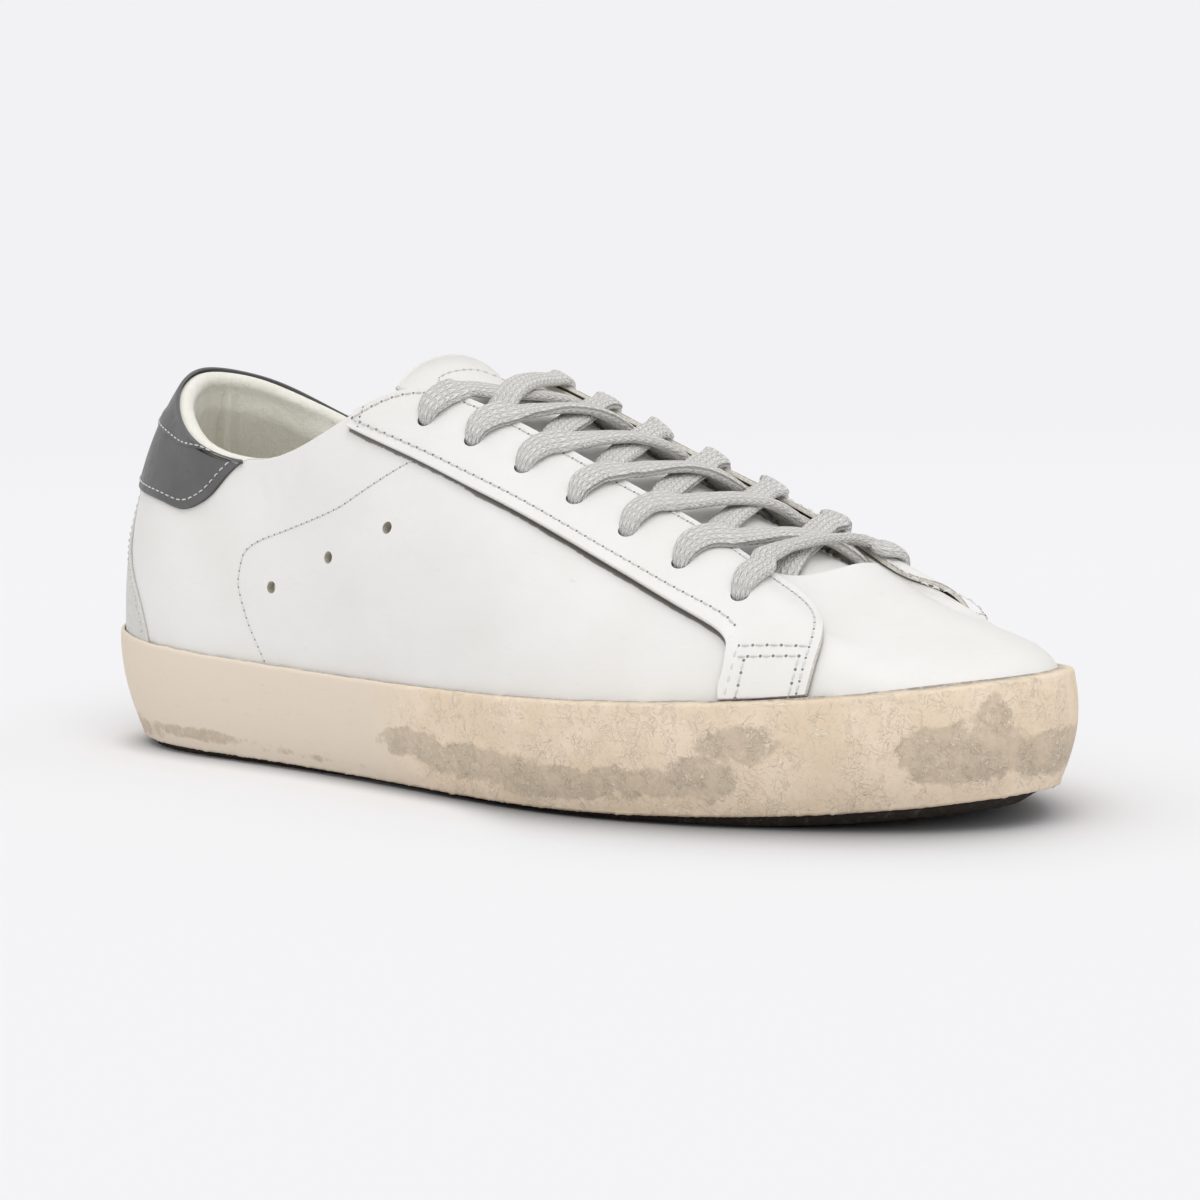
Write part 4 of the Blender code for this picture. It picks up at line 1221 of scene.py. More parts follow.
def make_upper_lining():
    """The cloth inside the upper, padded into a soft roll along the collar."""
    around = np.arange(LINING_STEPS)[:, None] / LINING_STEPS
    collar = 1 - smooth_step(from_heel(around), COLLAR_END, THROAT_START)
    covered = tab_cover(around)
    radius = THROAT_LINING + (COLLAR_ROLL - THROAT_LINING) * collar + 0.65 * covered
    length = rib_length(around)
    up = 1 - (radius - TOP_ROUND + 0.1 * covered) / length
    outer_lift = -(LEATHER + 0.05) + 1.3 * covered
    angles = np.linspace(0, math.pi, 9)[1:-1]
    roll = round_over(around, up, outer_lift, radius, angles[None, :])
    inner_up = up + (LINING_FOOT - up) * np.linspace(0, 1, LINING_ROWS) ** 1.15
    deep = (up - inner_up) * length
    thickness = 2 * radius + collar * 2.0 * smooth_step(deep, 0, 9)
    thickness = thickness + (0.75 - thickness) * smooth_step(deep, 16, 52)
    seam = np.abs(from_heel(around) - LINING_SEAM)
    stitched = 1.1 * np.exp(-((seam / 0.0022) ** 2))
    stitched -= 0.7 * np.exp(-(((seam - 0.0052) / 0.002) ** 2))
    thickness = thickness + stitched * smooth_step(deep, 1, 6)
    spots = upper_at(around, inner_up, outer_lift)
    soft = ripple(spots, 16.0, 3) * 0.35 * collar * smooth_step(deep, 2, 12)
    inner = upper_at(around, inner_up, outer_lift - thickness + soft)
    outer_up = LINING_FOOT + (up - LINING_FOOT) * np.linspace(0, 1, 10)
    outer = upper_at(around, outer_up, -(LEATHER + 0.05))
    maker = MeshMaker()
    numbers = [maker.add(rows) for rows in (outer, roll, inner)]
    rows = np.concatenate(numbers, axis=1)
    maker.grid(np.concatenate((rows, rows[:, :1]), axis=1), closed=True)
    lining = maker.build("upper_lining", [cream_lining()])
    punch(lining, EYELETS, EYELET_DIAMETER)
    punch(lining, VENTS, VENT_DIAMETER, both=False, segments=24, walls=cut_edge())
    keep(lining)


# ---------------------------------------------------------------- eyestays

EYESTAY_ALONG, EYESTAY_ACROSS = 300, 64
INNER_SHORTER = 0.011
LOOSE_END, LOW_ROW_END = 0.66, 0.655
LEG_ALONG = 0.8


def eyestay_edges():
    """The upper and the lower edge of the outer eyestay, as (around, up) rows."""
    rows = columns(EYESTAY).T
    places = np.linspace(0, len(rows) - 1, EYESTAY_ALONG)
    smooth = spline(np.arange(len(rows)), rows)(places)
    return smooth[:, :2], smooth[:, 2:]


def pull_at_eyelets(around, up, reach=7.0):
    """How far the leather is drawn in by the laces round each eyelet."""
    point = upper_frame(around, up)[0]
    drawn = np.zeros(around.shape)
    for _, place, height in EYELETS:
        for side in (place, 1 - place):
            away = np.linalg.norm(point - upper_frame(side, height)[0], axis=-1)
            drawn += np.exp(-((away / reach) ** 2))
    return drawn


def eyestay_lift(around, up, share, along):
    """How far the underside of the eyestay stands off the upper: its lower edge has come up a little."""
    loose = smooth_step(along, 0.10, 0.34) * (1 - smooth_step(along, 0.60, 0.69))
    lifted = (0.35 + 0.55 * loose) * (1 - smooth_step(share, 0.0, 0.2))
    lifted = lifted + 0.25 * smooth_step(share, 0.86, 1.0)
    return OVERLAY_BASE + lifted - 0.3 * pull_at_eyelets(around, up) + 0.28


def make_eyestays():
    """The overlays beside the throat, each with its leg down to the sole."""
    high, low = eyestay_edges()
    share = crowded(EYESTAY_ACROSS)
    along = np.linspace(0, 1, EYESTAY_ALONG)[:, None]
    for side in ("outer", "inner"):
        edge = high
        if side == "inner":
            edge = high - np.array((INNER_SHORTER, 0)) * smooth_step(along, 0.50, 0.62)
        places = low[:, None] * (1 - share[:, None]) + edge[:, None] * share[:, None]
        if side == "inner":
            places = mirrored(places)
        lift = eyestay_lift(places[..., 0], places[..., 1], share, along)
        paint = smooth_step(share, 0.5, 0.6)
        if side == "outer":
            paint = 0.5 * paint * smooth_step(along, 0.62, 0.68)
        stay = overlay_sheet(
            "eyestay_leather_" + side, places, lift, OVERLAY, white_leather(), soft=0.5, paint=paint
        )
        punch(stay, EYELETS, EYELET_DIAMETER, segments=24)
        keep(stay, "eyestay_" + side)


def eyestay_top(around, up, share=0.5, along=0.5):
    """The height of the eyestay's face above the upper."""
    return OVERLAY + eyestay_lift(around, up, np.full(np.shape(around), share), along)


LEG_STITCHES = (
    # row, start_around, start_up, end_around, end_up
    ("top", 0.3968, 0.189, 0.4262, 0.233),
    ("second", 0.3934, 0.142, 0.4194, 0.170),
    ("rear, outer", 0.3956, 0.178, 0.3831, -0.007),
    ("rear, inner", 0.3964, 0.131, 0.3875, -0.009),
    ("front, inner", 0.4194, 0.169, 0.4083, -0.015),
)


def stitch_eyestays(threads, holes):
    """Rows along both edges of the eyestays, at their rear end and round their legs."""
    high, low = eyestay_edges()
    steps = np.linspace(0, 1, EYESTAY_ALONG)
    reach = np.interp(steps, (0.0, 0.15, 0.3, 0.6, 0.7, 1.0), (2.0, 2.4, 3.4, 3.2, 2.4, 2.4))
    low_row = slice(3, int(LOW_ROW_END * EYESTAY_ALONG))
    rows = [
        (beside(low, high, 2.5)[low_row], steps[low_row], 0.1),
        (beside(high, low, reach)[3:-2], steps[3:-2], 0.9),
    ]
    rear = high[8] + (low[8] - high[8]) * np.linspace(0.1, 0.84, 6)[:, None]
    rows.append((rear, np.full(6, 0.02), 0.5))
    for _, *ends in LEG_STITCHES:
        start, end = np.array(ends[:2]), np.array(ends[2:])
        row = start + (end - start) * np.linspace(0, 1, 8)[:, None]
        rows.append((row, np.full(8, LEG_ALONG), 0.5))
    for row, along, share in rows:
        pitch, size = (3.5, 0.42) if along[0] == LEG_ALONG else (3.0, 0.34)
        for places in (row, mirrored(row)):
            lift = eyestay_top(places[:, 0], places[:, 1], share, along) + 0.05
            thin = slice(None, None, max(1, len(places) // 40))
            row_on_upper(threads, holes, places[thin], pitch, lift[thin], 0.26, size)


def stitch_quarters(threads, holes):
    """The row across each quarter."""
    seam = columns(QUARTER_SEAM).T
    for places in (seam, mirrored(seam)):
        row_on_upper(threads, holes, places, pitch=2.15, lift=0.05, radius=0.17, hole=0.27)


# ---------------------------------------------------------------- heel

TAB_COLUMNS, TAB_ROWS, STRIP_ROWS = 200, 44, 40


def tab_rows(count=TAB_COLUMNS // 2):
    """The heel tab's table, read finely from the middle of the back to its tip."""
    rows = columns(HEEL_TAB).T
    return spline(np.arange(len(rows)), rows)(np.linspace(0, len(rows) - 1, count))


HEEL_SEAM = (
    # place, around, height
    ("back", 0.000, 86.6),
    ("back corner", 0.035, 86.6),
    ("side", 0.068, 85.7),
    ("rear dip", 0.094, 84.1),
    ("dip", 0.120, 82.8),
    ("front dip", 0.145, 82.3),
    ("end", 0.158, 81.6),
    ("front end", 0.183, 79.0),
)
STRIP_BELOW_SEAM, TAB_ABOVE_SEAM = 0.95, 2.2
HEEL_BASE = 0.12
HEEL_PITCH, HEEL_THREAD = 2.3, 0.21


def seam_up(around, offset):
    """The up of the heel's seam, moved up by an offset in millimetres."""
    place, height = columns(HEEL_SEAM)
    return at_height(around, spline(place, height)(from_heel(around)) + offset)


def make_heel_strip():
    """The dark strip round the back of the collar: its lower edge lies over the top of the tab."""
    around = np.linspace(-TAB_END, TAB_END, TAB_COLUMNS)
    top = 1 - 0.1 / rib_length(around)
    low = np.minimum(seam_up(around, -STRIP_BELOW_SEAM), top - 0.2 / rib_length(around))
    around, top, low = around[:, None], top[:, None], low[:, None]
    share = crowded(STRIP_ROWS)
    places = np.stack(np.broadcast_arrays(around, low + (top - low) * share), axis=-1)
    deep = (top - low) * share * rib_length(around)
    room = smooth_step((top - low) * rib_length(around), 1.5, 4.0)
    step = STRIP_STEP * (1 - smooth_step(deep, 3.0, 6.0)) * room
    base = HEEL_BASE + TAB * (1 - smooth_step(deep, 2.2, 2.6)) * room
    point, normal, _ = upper_frame(places[..., 0], places[..., 1])
    inside = distance_in(point)
    rounded = round_off(inside, 0.5)
    thinned = 0.9 * TAB * (1 - rounded) * (share > 0.5)
    outer = point + normal * (HEEL_BASE + TAB + step * rounded - thinned)[..., None]
    under = point + normal * (base - 0.03)[..., None]
    maker = MeshMaker()
    outer_n, under_n = maker.add(outer), maker.add(under)
    maker.grid(np.concatenate((outer_n, under_n[:, ::-1]), axis=1), closed_across=True)
    for end in (0, -1):
        maker.strip(outer_n[end], under_n[end])
    maker.value("raw_edge", outer_n, 2 * (1 - rounded) * (share < 0.5))
    maker.value("raw_edge", under_n, 2.0 * (share < 0.5) * np.ones(inside.shape))
    keep(maker.build("heel_strip_leather", [dark_leather()]), "heel_strip")


def make_heel_tab():
    """The dark tab below the strip, which runs up to the collar at both ends."""
    upper_around, lower_around, lower_height = tab_rows().T
    top = leather_top(upper_around) - 0.5 / rib_length(upper_around)
    seam = np.minimum(seam_up(upper_around, TAB_ABOVE_SEAM), top)
    high = both_sides(np.stack((upper_around, seam), axis=-1))
    low = both_sides(np.stack((lower_around, at_height(lower_around, lower_height)), axis=-1))
    share = crowded(TAB_ROWS)[:, None]
    places = low[:, None] * (1 - share) + high[:, None] * share
    tab = overlay_sheet("heel_tab_leather", places, HEEL_BASE, TAB, dark_leather())
    keep(tab, "heel_tab")


def stitch_heel(threads, holes):
    """A row inside the tab's lower edge, and one along the seam of the strip."""
    upper_around, lower_around, lower_height = tab_rows(60).T
    lift = HEEL_BASE + TAB + 0.01
    low = np.stack((lower_around, at_height(lower_around, lower_height)), axis=-1)
    top = np.stack((upper_around, leather_top(upper_around)), axis=-1)
    row = both_sides(beside(low, top, 2.3)[:-3])
    row_on_upper(threads, holes, row[::3], HEEL_PITCH, lift, HEEL_THREAD)
    around = np.linspace(0, 0.158, 26)
    seam = both_sides(np.stack((around, seam_up(around, 0.0)), axis=-1))
    row_on_upper(threads, holes, seam, HEEL_PITCH, lift + STRIP_STEP - 0.1, HEEL_THREAD)


BACKSTAY_THICKNESS, BACKSTAY_ACROSS = 0.7, 90


def backstay_edge(inset=0.0, count=60):
    """The outer edge of the backstay from the rim up, as (around, up) rows."""
    height, half = columns(BACKSTAY)
    heights = np.linspace(height[0], height[-1], count)
    around = spline(height, half)(heights) - inset / 700.0
    return np.stack((around, at_height(around, heights)), axis=-1)


def make_backstay():
    """The suede piece up the middle of the heel."""
    edge = backstay_edge()
    other = np.stack((-edge[:, 0], edge[:, 1]), axis=-1)
    share = crowded(BACKSTAY_ACROSS)[:, None]
    places = edge[:, None] * (1 - share) + other[:, None] * share
    stay = overlay_sheet("backstay_suede", places, 0.08, BACKSTAY_THICKNESS, grey_suede(), soft=0.5)
    keep(stay, "backstay")


def stitch_backstay(threads, holes):
    """A row down both sides of the backstay."""
    edge = backstay_edge(inset=2.0, count=30)
    edge = edge[(edge[:, 1] > 0.0) & (edge[:, 1] < 0.6)]
    lift = 0.1 + BACKSTAY_THICKNESS
    for places in (edge, np.stack((-edge[:, 0], edge[:, 1]), axis=-1)):
        row_on_upper(threads, holes, places, HEEL_PITCH, lift, radius=0.22, hole=0.2)


# ---------------------------------------------------------------- tongue

TONGUE_ROWS, TONGUE_ACROSS = 150, 56


def tongue_rows(places):
    numbers = columns(TONGUE).T
    return spline(np.arange(len(numbers)), numbers)(places)


def tongue_middle():
    """The tongue's upper face: rows from its hidden front end to its rounded free end."""
    side = np.linspace(1, -1, TONGUE_ACROSS)
    rows = np.linspace(0, len(TONGUE) - 1, TONGUE_ROWS)[:, None]
    corner = TONGUE_CORNER * (1 - np.sqrt(1 - 0.92 * side**2))
    rows = rows - corner * np.clip(rows - rows[-1] + 1, 0, 1)
    x, z, half, drop = np.moveaxis(tongue_rows(rows), -1, 0)
    return np.stack((x, bend_at(x) + half * side, z - drop * side**2), axis=-1)


def held_under(points):
    """Keeps points below the inside of the upper, and smooths what that bends."""
    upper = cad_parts["upper"]
    mesh = upper.data
    corners = [tuple(vertex.co / MM) for vertex in mesh.vertices]
    faces = [tuple(face.vertices) for face in mesh.polygons]
    tree = BVHTree.FromPolygons(corners, faces)
    limit = np.full(points.shape[:-1], np.inf)
    for index in np.ndindex(limit.shape):
        spot = points[index] + SHIFT
        hit = tree.ray_cast(Vector((spot[0], spot[1], 25.0)), Vector(UP))[0]
        if hit:
            limit[index] = hit.z - TONGUE_CLEARANCE
    height = np.minimum(points[..., 2], limit)
    for _ in range(12):
        padded = np.pad(height, 1, mode="edge")
        mean = (padded[2:, 1:-1] + padded[:-2, 1:-1] + padded[1:-1, 2:] + padded[1:-1, :-2]) / 4
        height = np.minimum(mean, limit)
    points[..., 2] = height
    return points


def make_tongue():
    """The padded tongue; gives its upper face and normals, for the stitches on it."""
    face = held_under(tongue_middle())
    along = np.gradient(face, axis=0)
    across = np.gradient(face, axis=1)
    normal = unit(np.cross(across, along))
    normal = normal * np.sign(normal[..., 2:3])
    half = TONGUE_THICKNESS / 2
    side = np.linspace(1, -1, TONGUE_ACROSS)
    edge = np.sqrt(np.clip(1 - np.abs(side) ** 9, 0.0, 1))
    last = np.linspace(1, 0, TONGUE_ROWS)[:, None]
    tip = round_off(last, 0.03, 0.02)
    swell = half * edge * tip
    middle = face - normal * half
    bumps = 0.25 * ripple(face, 22.0, 2)
    top = middle + normal * (swell + bumps)[..., None]
    under = middle - normal * swell[..., None]
    maker = MeshMaker()
    top_n, under_n = maker.add(top), maker.add(under)
    maker.grid(top_n)
    maker.grid(under_n[:, ::-1], slot=1)
    for column in (0, -1):
        maker.strip(top_n[:, column], under_n[:, column])
    for row in (0, -1):
        maker.strip(top_n[row], under_n[row])
    tongue = maker.build("tongue_leather", [white_leather(), cream_lining()])
    keep(tongue, "tongue")
    return top, normal


def stitch_tongue(threads, holes, face, normal):
    """One row about 6 mm in from the edge of the tongue, round its free end."""
    first, inset, end_row, turn = 40, 9, TONGUE_ROWS - 25, 12
    side = [(row, inset) for row in range(first, end_row - turn, 3)]
    angles = np.linspace(0, math.pi / 2, 6)
    bend = [(end_row - turn * (1 - math.sin(a)), inset + 9 * (1 - math.cos(a))) for a in angles]
    end = [(end_row, column) for column in range(inset + 11, TONGUE_ACROSS // 2 + 1, 3)]
    half = side + bend + end
    other = [(row, TONGUE_ACROSS - 1 - column) for row, column in half[::-1]]
    path = np.array(half + other)
    low = np.floor(path).astype(int)
    part = (path - low)[..., None]
    rows, columns_across = low.T

    def row_values(values, row):
        first, second = values[row, columns_across], values[row, columns_across + 1]
        return first * (1 - part[:, 1]) + second * part[:, 1]

    def read(values):
        return row_values(values, rows) * (1 - part[:, 0]) + row_values(values, rows + 1) * part[:, 0]

    points, normals = read(face), read(normal)
    fine = np.linspace(0, len(points) - 1, 10 * len(points))
    index = np.arange(len(points))
    smooth = spline(index, points)(fine)
    stitch_row(threads, holes, smooth, unit(spline(index, normals)(fine)), 2.7, 0.26, 0.26)


# ---------------------------------------------------------------- lace

LACE_STEP = 0.7
LACE_SIDES = 22
LACE_TOP = OVERLAY_BASE + 0.28 + OVERLAY
INSIDE = -(LEATHER + 0.95)
OUT_STEP, IN_STEP, BAR_STEP = 3.5, -1.5, -5.5
# Share of the way from an eyelet to the edge, height over the leather, share of the width, and how far
# the flat of the lace is still turned towards the throat.
OUT_OF_EYELET = (
    (0.07, 0.55, 0.70, 1.2),
    (0.17, 1.30, 0.84, 0.5),
    (0.30, 1.60, 0.94, 0.1),
    (0.50, 1.60, 1.00, 0.0),
    (0.74, 1.55, 1.00, 0.0),
    (1.00, 1.60, 1.00, 0.0),
)
# How high a run of lace passes above the line between the two edges of the throat.
RUN_SHARES = (0.10, 0.22, 0.36, 0.50, 0.64, 0.76, 0.86, 0.94)
OVER_HEIGHTS = (2.6, 3.4, 4.1, 4.5, 4.2, 3.0, 1.0, -1.2)
UNDER_HEIGHTS = (2.3, 2.1, 1.8, 1.5, 1.3, 0.9, 0.0, -1.7)


def edge_place(x, outer):
    """Where round the shoe the edge of the throat passes x, on the outer or the inner side."""
    places = np.linspace(0.28, 0.49, 85)
    place = np.interp(x, top_edge(places)[:, 0], places)
    return place if outer else 1 - place


def lace_halves():
    """Half the lace's width and half its thickness."""
    sizes = bpy.context.scene.sneaker_sizes
    return sizes.lace_width / 2, sizes.lace_thickness / 2


class LaceLine:
    """The middle line of the lace, with the way that its flat side faces and its size."""

    def __init__(self):
        self.spots = []

    def add(self, point, normal, width, thickness):
        if self.spots and np.dot(self.spots[-1][3:6], normal) < 0:
            normal = -np.asarray(normal)
        self.spots.append((*point, *normal, width, thickness))

    def smooth(self):
        """The line at even steps, with its corners rounded."""
        rows = np.array(self.spots)
        rows = sample(rows, evenly(rows[:, :3], LACE_STEP / 2))
        reach = 7
        weights = np.exp(-(np.arange(-reach, reach + 1) ** 2) / (2 * (reach / 2.2) ** 2))
        weights /= weights.sum()
        ends = np.repeat(rows[:1], reach, 0), np.repeat(rows[-1:], reach, 0)
        padded = np.concatenate((ends[0], rows, ends[1]))
        soft = np.stack([np.convolve(column, weights, "valid") for column in padded.T], axis=-1)
        return sample(soft, evenly(soft[:, :3], LACE_STEP))


def over_spots(eyelet, outer, step=OUT_STEP, narrow=1.0):
    """Spots of the lace from inside its eyelet, out of it and up over the edge of the throat."""
    wide, thick = lace_halves()
    _, around, up = eyelet
    around = around if outer else 1 - around
    centre, normal, _ = upper_frame(around, up)
    edge = edge_place(centre[0] + step, outer)
    toward = unit(upper_frame(edge, 1.0)[0] - centre)
    spots = [
        (centre + normal * (INSIDE - 1.6) - toward * 0.3, toward, wide * 0.5, thick * 1.1),
        (centre + normal * (LACE_TOP - 0.9) - toward * 0.1, toward, wide * 0.56, thick * 1.2),
    ]
    for share, lift, width, turned in OUT_OF_EYELET:
        place = around + (edge - around) * share
        point, out, _ = upper_frame(place, up + (1 - up) * share)
        width = width * (1 - (1 - narrow) * share)
        spots.append((point + out * (LACE_TOP + lift), toward * turned - out, wide * width, thick))
    return spots


def under_spots(eyelet, outer):
    """Spots of the lace from the edge of the throat, under the eyestay, to below its eyelet."""
    wide, thick = lace_halves()
    _, around, up = eyelet
    around = around if outer else 1 - around
    centre = upper_frame(around, up)[0]
    edge = edge_place(centre[0] + IN_STEP, outer)
    spots = []
    for share in (1.0, 0.75, 0.5, 0.25, 0.1):
        place = around + (edge - around) * share
        point, out, _ = upper_frame(place, up + (1 - up) * share)
        width = 0.6 + 0.35 * share
        spots.append((point + out * (INSIDE - 1.3), out, wide * width, thick * 0.62))
    return spots


def run_spots(start, end, start_outer, heights):
    """Spots of the lace from over one edge of the throat to under the other."""
    wide, thick = lace_halves()
    start_x = upper_frame(start[1], start[2])[0][0] + OUT_STEP
    end_x = upper_frame(end[1], end[2])[0][0] + IN_STEP
    first = upper_frame(edge_place(start_x, start_outer), 1.0)
    last = upper_frame(edge_place(end_x, not start_outer), 1.0)
    spots = []
    for share, height in zip(RUN_SHARES, heights):
        point = first[0] * (1 - share) + last[0] * share
        normal = unit(first[1] * (1 - share) + last[1] * share + UP * 1.5)
        spots.append((point + UP * height, normal, wide * 1.02, thick))
    return spots


def lace_spots():
    """The whole lace, from its hidden end at one top eyelet to its hidden end at the other."""
    line = LaceLine()
    top = len(EYELETS)
    halves = []
    for first_outer in (True, False):
        spots = []
        outer = first_outer
        for k in range(top, 1, -1):
            start, end = EYELETS[k - 1], EYELETS[k - 2]
            lies_over = outer if k < top else not outer
            spots += over_spots(start, outer)
            spots += run_spots(start, end, outer, OVER_HEIGHTS if lies_over else UNDER_HEIGHTS)
            spots += under_spots(end, not outer)
            outer = not outer
        spots += over_spots(EYELETS[0], outer, BAR_STEP, narrow=0.8)
        halves.append(spots)
    for spot in halves[0]:
        line.add(*spot)
    first, last = (np.array(half[-1][0]) for half in halves)
    wide, thick = halves[0][-1][2:]
    for share, height in ((0.2, 1.6), (0.5, 2.4), (0.8, 1.4)):
        line.add(first * (1 - share) + last * share + UP * height, UP, wide, thick)
    for spot in halves[1][::-1]:
        line.add(*spot)
    return line.smooth()


def make_lace():
    """One flat braided lace, soft and slightly uneven along its run."""
    rows = lace_spots()
    points, normals, wide, thick = rows[:, :3], rows[:, 3:6], rows[:, 6:7], rows[:, 7:8]
    along = unit(np.gradient(points, axis=0))
    side = unit(np.cross(along, normals))
    out = np.cross(side, along)
    count = len(rows)
    steps = np.arange(count) * LACE_STEP
    wobble = ripple(np.stack((steps, 0 * steps, 0 * steps + 7), axis=-1), 19.0, 2)[:, None]
    tilt = 0.22 * wobble
    side, out = side * np.cos(tilt) + out * np.sin(tilt), out * np.cos(tilt) - side * np.sin(tilt)
    pinch = ripple(np.stack((steps, 0 * steps + 3, 0 * steps), axis=-1), 9.0, 2)[:, None]
    wide = wide * (1 + 0.06 * pinch)
    turn = np.linspace(0, 2 * math.pi, LACE_SIDES, endpoint=False)
    flat = np.sign(np.cos(turn)) * np.abs(np.cos(turn)) ** 0.8
    proud = np.sign(np.sin(turn)) * np.abs(np.sin(turn)) ** 0.75
    section = side[:, None] * (flat * wide)[..., None] + out[:, None] * (proud * thick)[..., None]
    rings = points[:, None] + section
    fuzzy = ripple(rings, 1.1, 2) * 0.07
    rings = rings + unit(section) * fuzzy[..., None]
    maker = MeshMaker()
    numbers = maker.add(rings)
    maker.grid(numbers, closed_across=True)
    maker.face(numbers[0])
    maker.face(numbers[-1])
    perimeter = np.linalg.norm(np.roll(section, -1, axis=1) - section, axis=-1)
    across = np.concatenate((np.zeros((count, 1)), np.cumsum(perimeter, axis=1)[:, :-1]), axis=1)
    full = perimeter.sum(axis=1)[:, None]
    columns_round = np.maximum(1, np.round(np.median(full) / LACE_COLUMN))
    maker.value("lace_across", numbers, across / full * columns_round * LACE_COLUMN)
    maker.value("lace_along", numbers, np.broadcast_to(steps[:, None], numbers.shape))
    lace = maker.build("lace_cotton", [grey_cotton()])
    keep(lace, "laces")


# ---------------------------------------------------------------- sole

CUP_STEPS = 880
FOLLOW_LEG = (0.372, 0.424)


def smudge(around, share):
    """How dirty the side of the sole is at places round it, from its named smudges."""
    amount = np.zeros(around.shape)
    for _, place, height, half_around, half_share, strength in SMUDGES:
        away = np.abs(np.mod(around - place + 0.5, 1.0) - 0.5) / half_around
        above = np.abs(share - height) / half_share
        amount = np.maximum(amount, strength * np.exp(-((away**2 + above**2) ** 1.3) * 0.8))
    return amount


def slot_width(around):
    """The room between the upper and the rim: wider where an overlay runs down behind the rim."""
    place = from_heel(around)
    low, high = FOLLOW_LEG
    leg = smooth_step(place, low - 0.004, low + 0.004)
    leg = leg * (1 - smooth_step(place, high - 0.004, high + 0.004))
    heel = 1 - smooth_step(place, 0.079, 0.086)
    return 0.25 + 1.75 * leg + 0.95 * heel


def make_cup():
    """The cup of the sole: worn side, rounded lip, slot for the upper and floor."""
    around = np.arange(CUP_STEPS)[:, None] / CUP_STEPS
    rim_x = rim_at(around[:, 0])[:, 0][:, None]
    low, high = edge_height(rim_x), rim_height(rim_x)
    part = np.linspace(0, 1, 44)
    inset = edge_inset(rim_x) * (1 - part) ** 1.7 - side_bulge(rim_x) * np.sin(math.pi * part)
    lip = 0.9
    top = high - lip
    height = low + part * (top - low)
    face = with_height(inset_rim(np.broadcast_to(around, inset.shape), inset), height)
    forward = smooth_step(rim_x, 112, 150) * np.ones_like(part)
    coarse = ripple(face, 5.0, 3) * 0.07 * (0.4 + 0.6 * forward)
    ragged = ripple(face * np.array((1, 1, 2.5)), 1.8, 3) * 0.42 * (1 - smooth_step(part, 0.0, 0.07))
    out = with_height(outward_at(around[:, 0]), 0.0)[:, None]
    face = face + out * (coarse + ragged)[..., None]
    face[..., 2] -= np.abs(ragged) * 0.8
    inset_top = inset[:, -1:]
    turn = np.linspace(0, math.pi / 2, 5)[1:]
    lip_inset = inset_top + lip * (1 - np.cos(turn))
    wave = ripple(face[:, -1:], 5.0, 3) * 0.18
    lip_rows = with_height(
        inset_rim(np.broadcast_to(around, lip_inset.shape), lip_inset),
        top + lip * np.sin(turn) + wave,
    )
    slot = slot_width(around)
    inner_up = np.array((0.004, -0.02, -0.06))
    wall = upper_at(around, inner_up, slot)
    crest = wall[:, :1].copy()
    crest[..., 2:] = (high + wave)[..., None] - 0.15
    wall[:, 0, 2] = high[:, 0] - 0.7
    foot = inset_rim(around, np.full(around.shape, CUP_WALL))
    floor = floor_height(foot[..., 0])
    above = wall[:, -1:, 2] - floor
    floor_rows = with_height(np.repeat(foot, 2, axis=1), floor + above * np.array((0.6, 0.0)))
    seat = with_height(inset_rim(around, edge_inset(rim_x) + 2.2), low + TREAD_SEAT)
    frayed = low + 0.1 - np.abs(ragged[:, :1]) * 0.3
    under = with_height(inset_rim(around, edge_inset(rim_x) + 0.7), frayed)
    maker = MeshMaker()
    parts = [maker.add(rows) for rows in (seat, under, face, lip_rows, crest, wall, floor_rows)]
    rows = np.concatenate(parts, axis=1)
    maker.grid(rows, closed=True)
    half = CUP_STEPS // 2
    for ring in (rows[:, 0], rows[:, -1]):
        maker.strip(ring[1:half], ring[:half:-1])
        maker.face((ring[0], ring[1], ring[-1]))
        maker.face((ring[half], ring[half + 1], ring[half - 1]))
    maker.value("dirt", parts[2], smudge(np.broadcast_to(around, inset.shape), part))
    maker.value("crackle", parts[2], forward)
    maker.value("crackle", parts[3], np.broadcast_to(forward[:, :1], parts[3].shape))
    # Dust and painted shade in the crest and slot round the upper, and a little under the lower edge.
    maker.value("crevice", parts[4], np.ones(parts[4].shape))
    maker.value("crevice", parts[5], np.ones(parts[5].shape))
    maker.value("crevice", parts[1], np.full(parts[1].shape, 0.8))
    cup = maker.build("cup_rubber", [cream_rubber()])
    keep(cup, "cup_sole")


def across_rows(ring, steps):
    """Points in rows from the outer to the inner side of a ring round the shoe."""
    half = len(ring) // 2
    outer, inner = ring[1:half], ring[:half:-1]
    share = np.linspace(0, 1, steps)[:, None]
    return outer[:, None] * (1 - share) + inner[:, None] * share


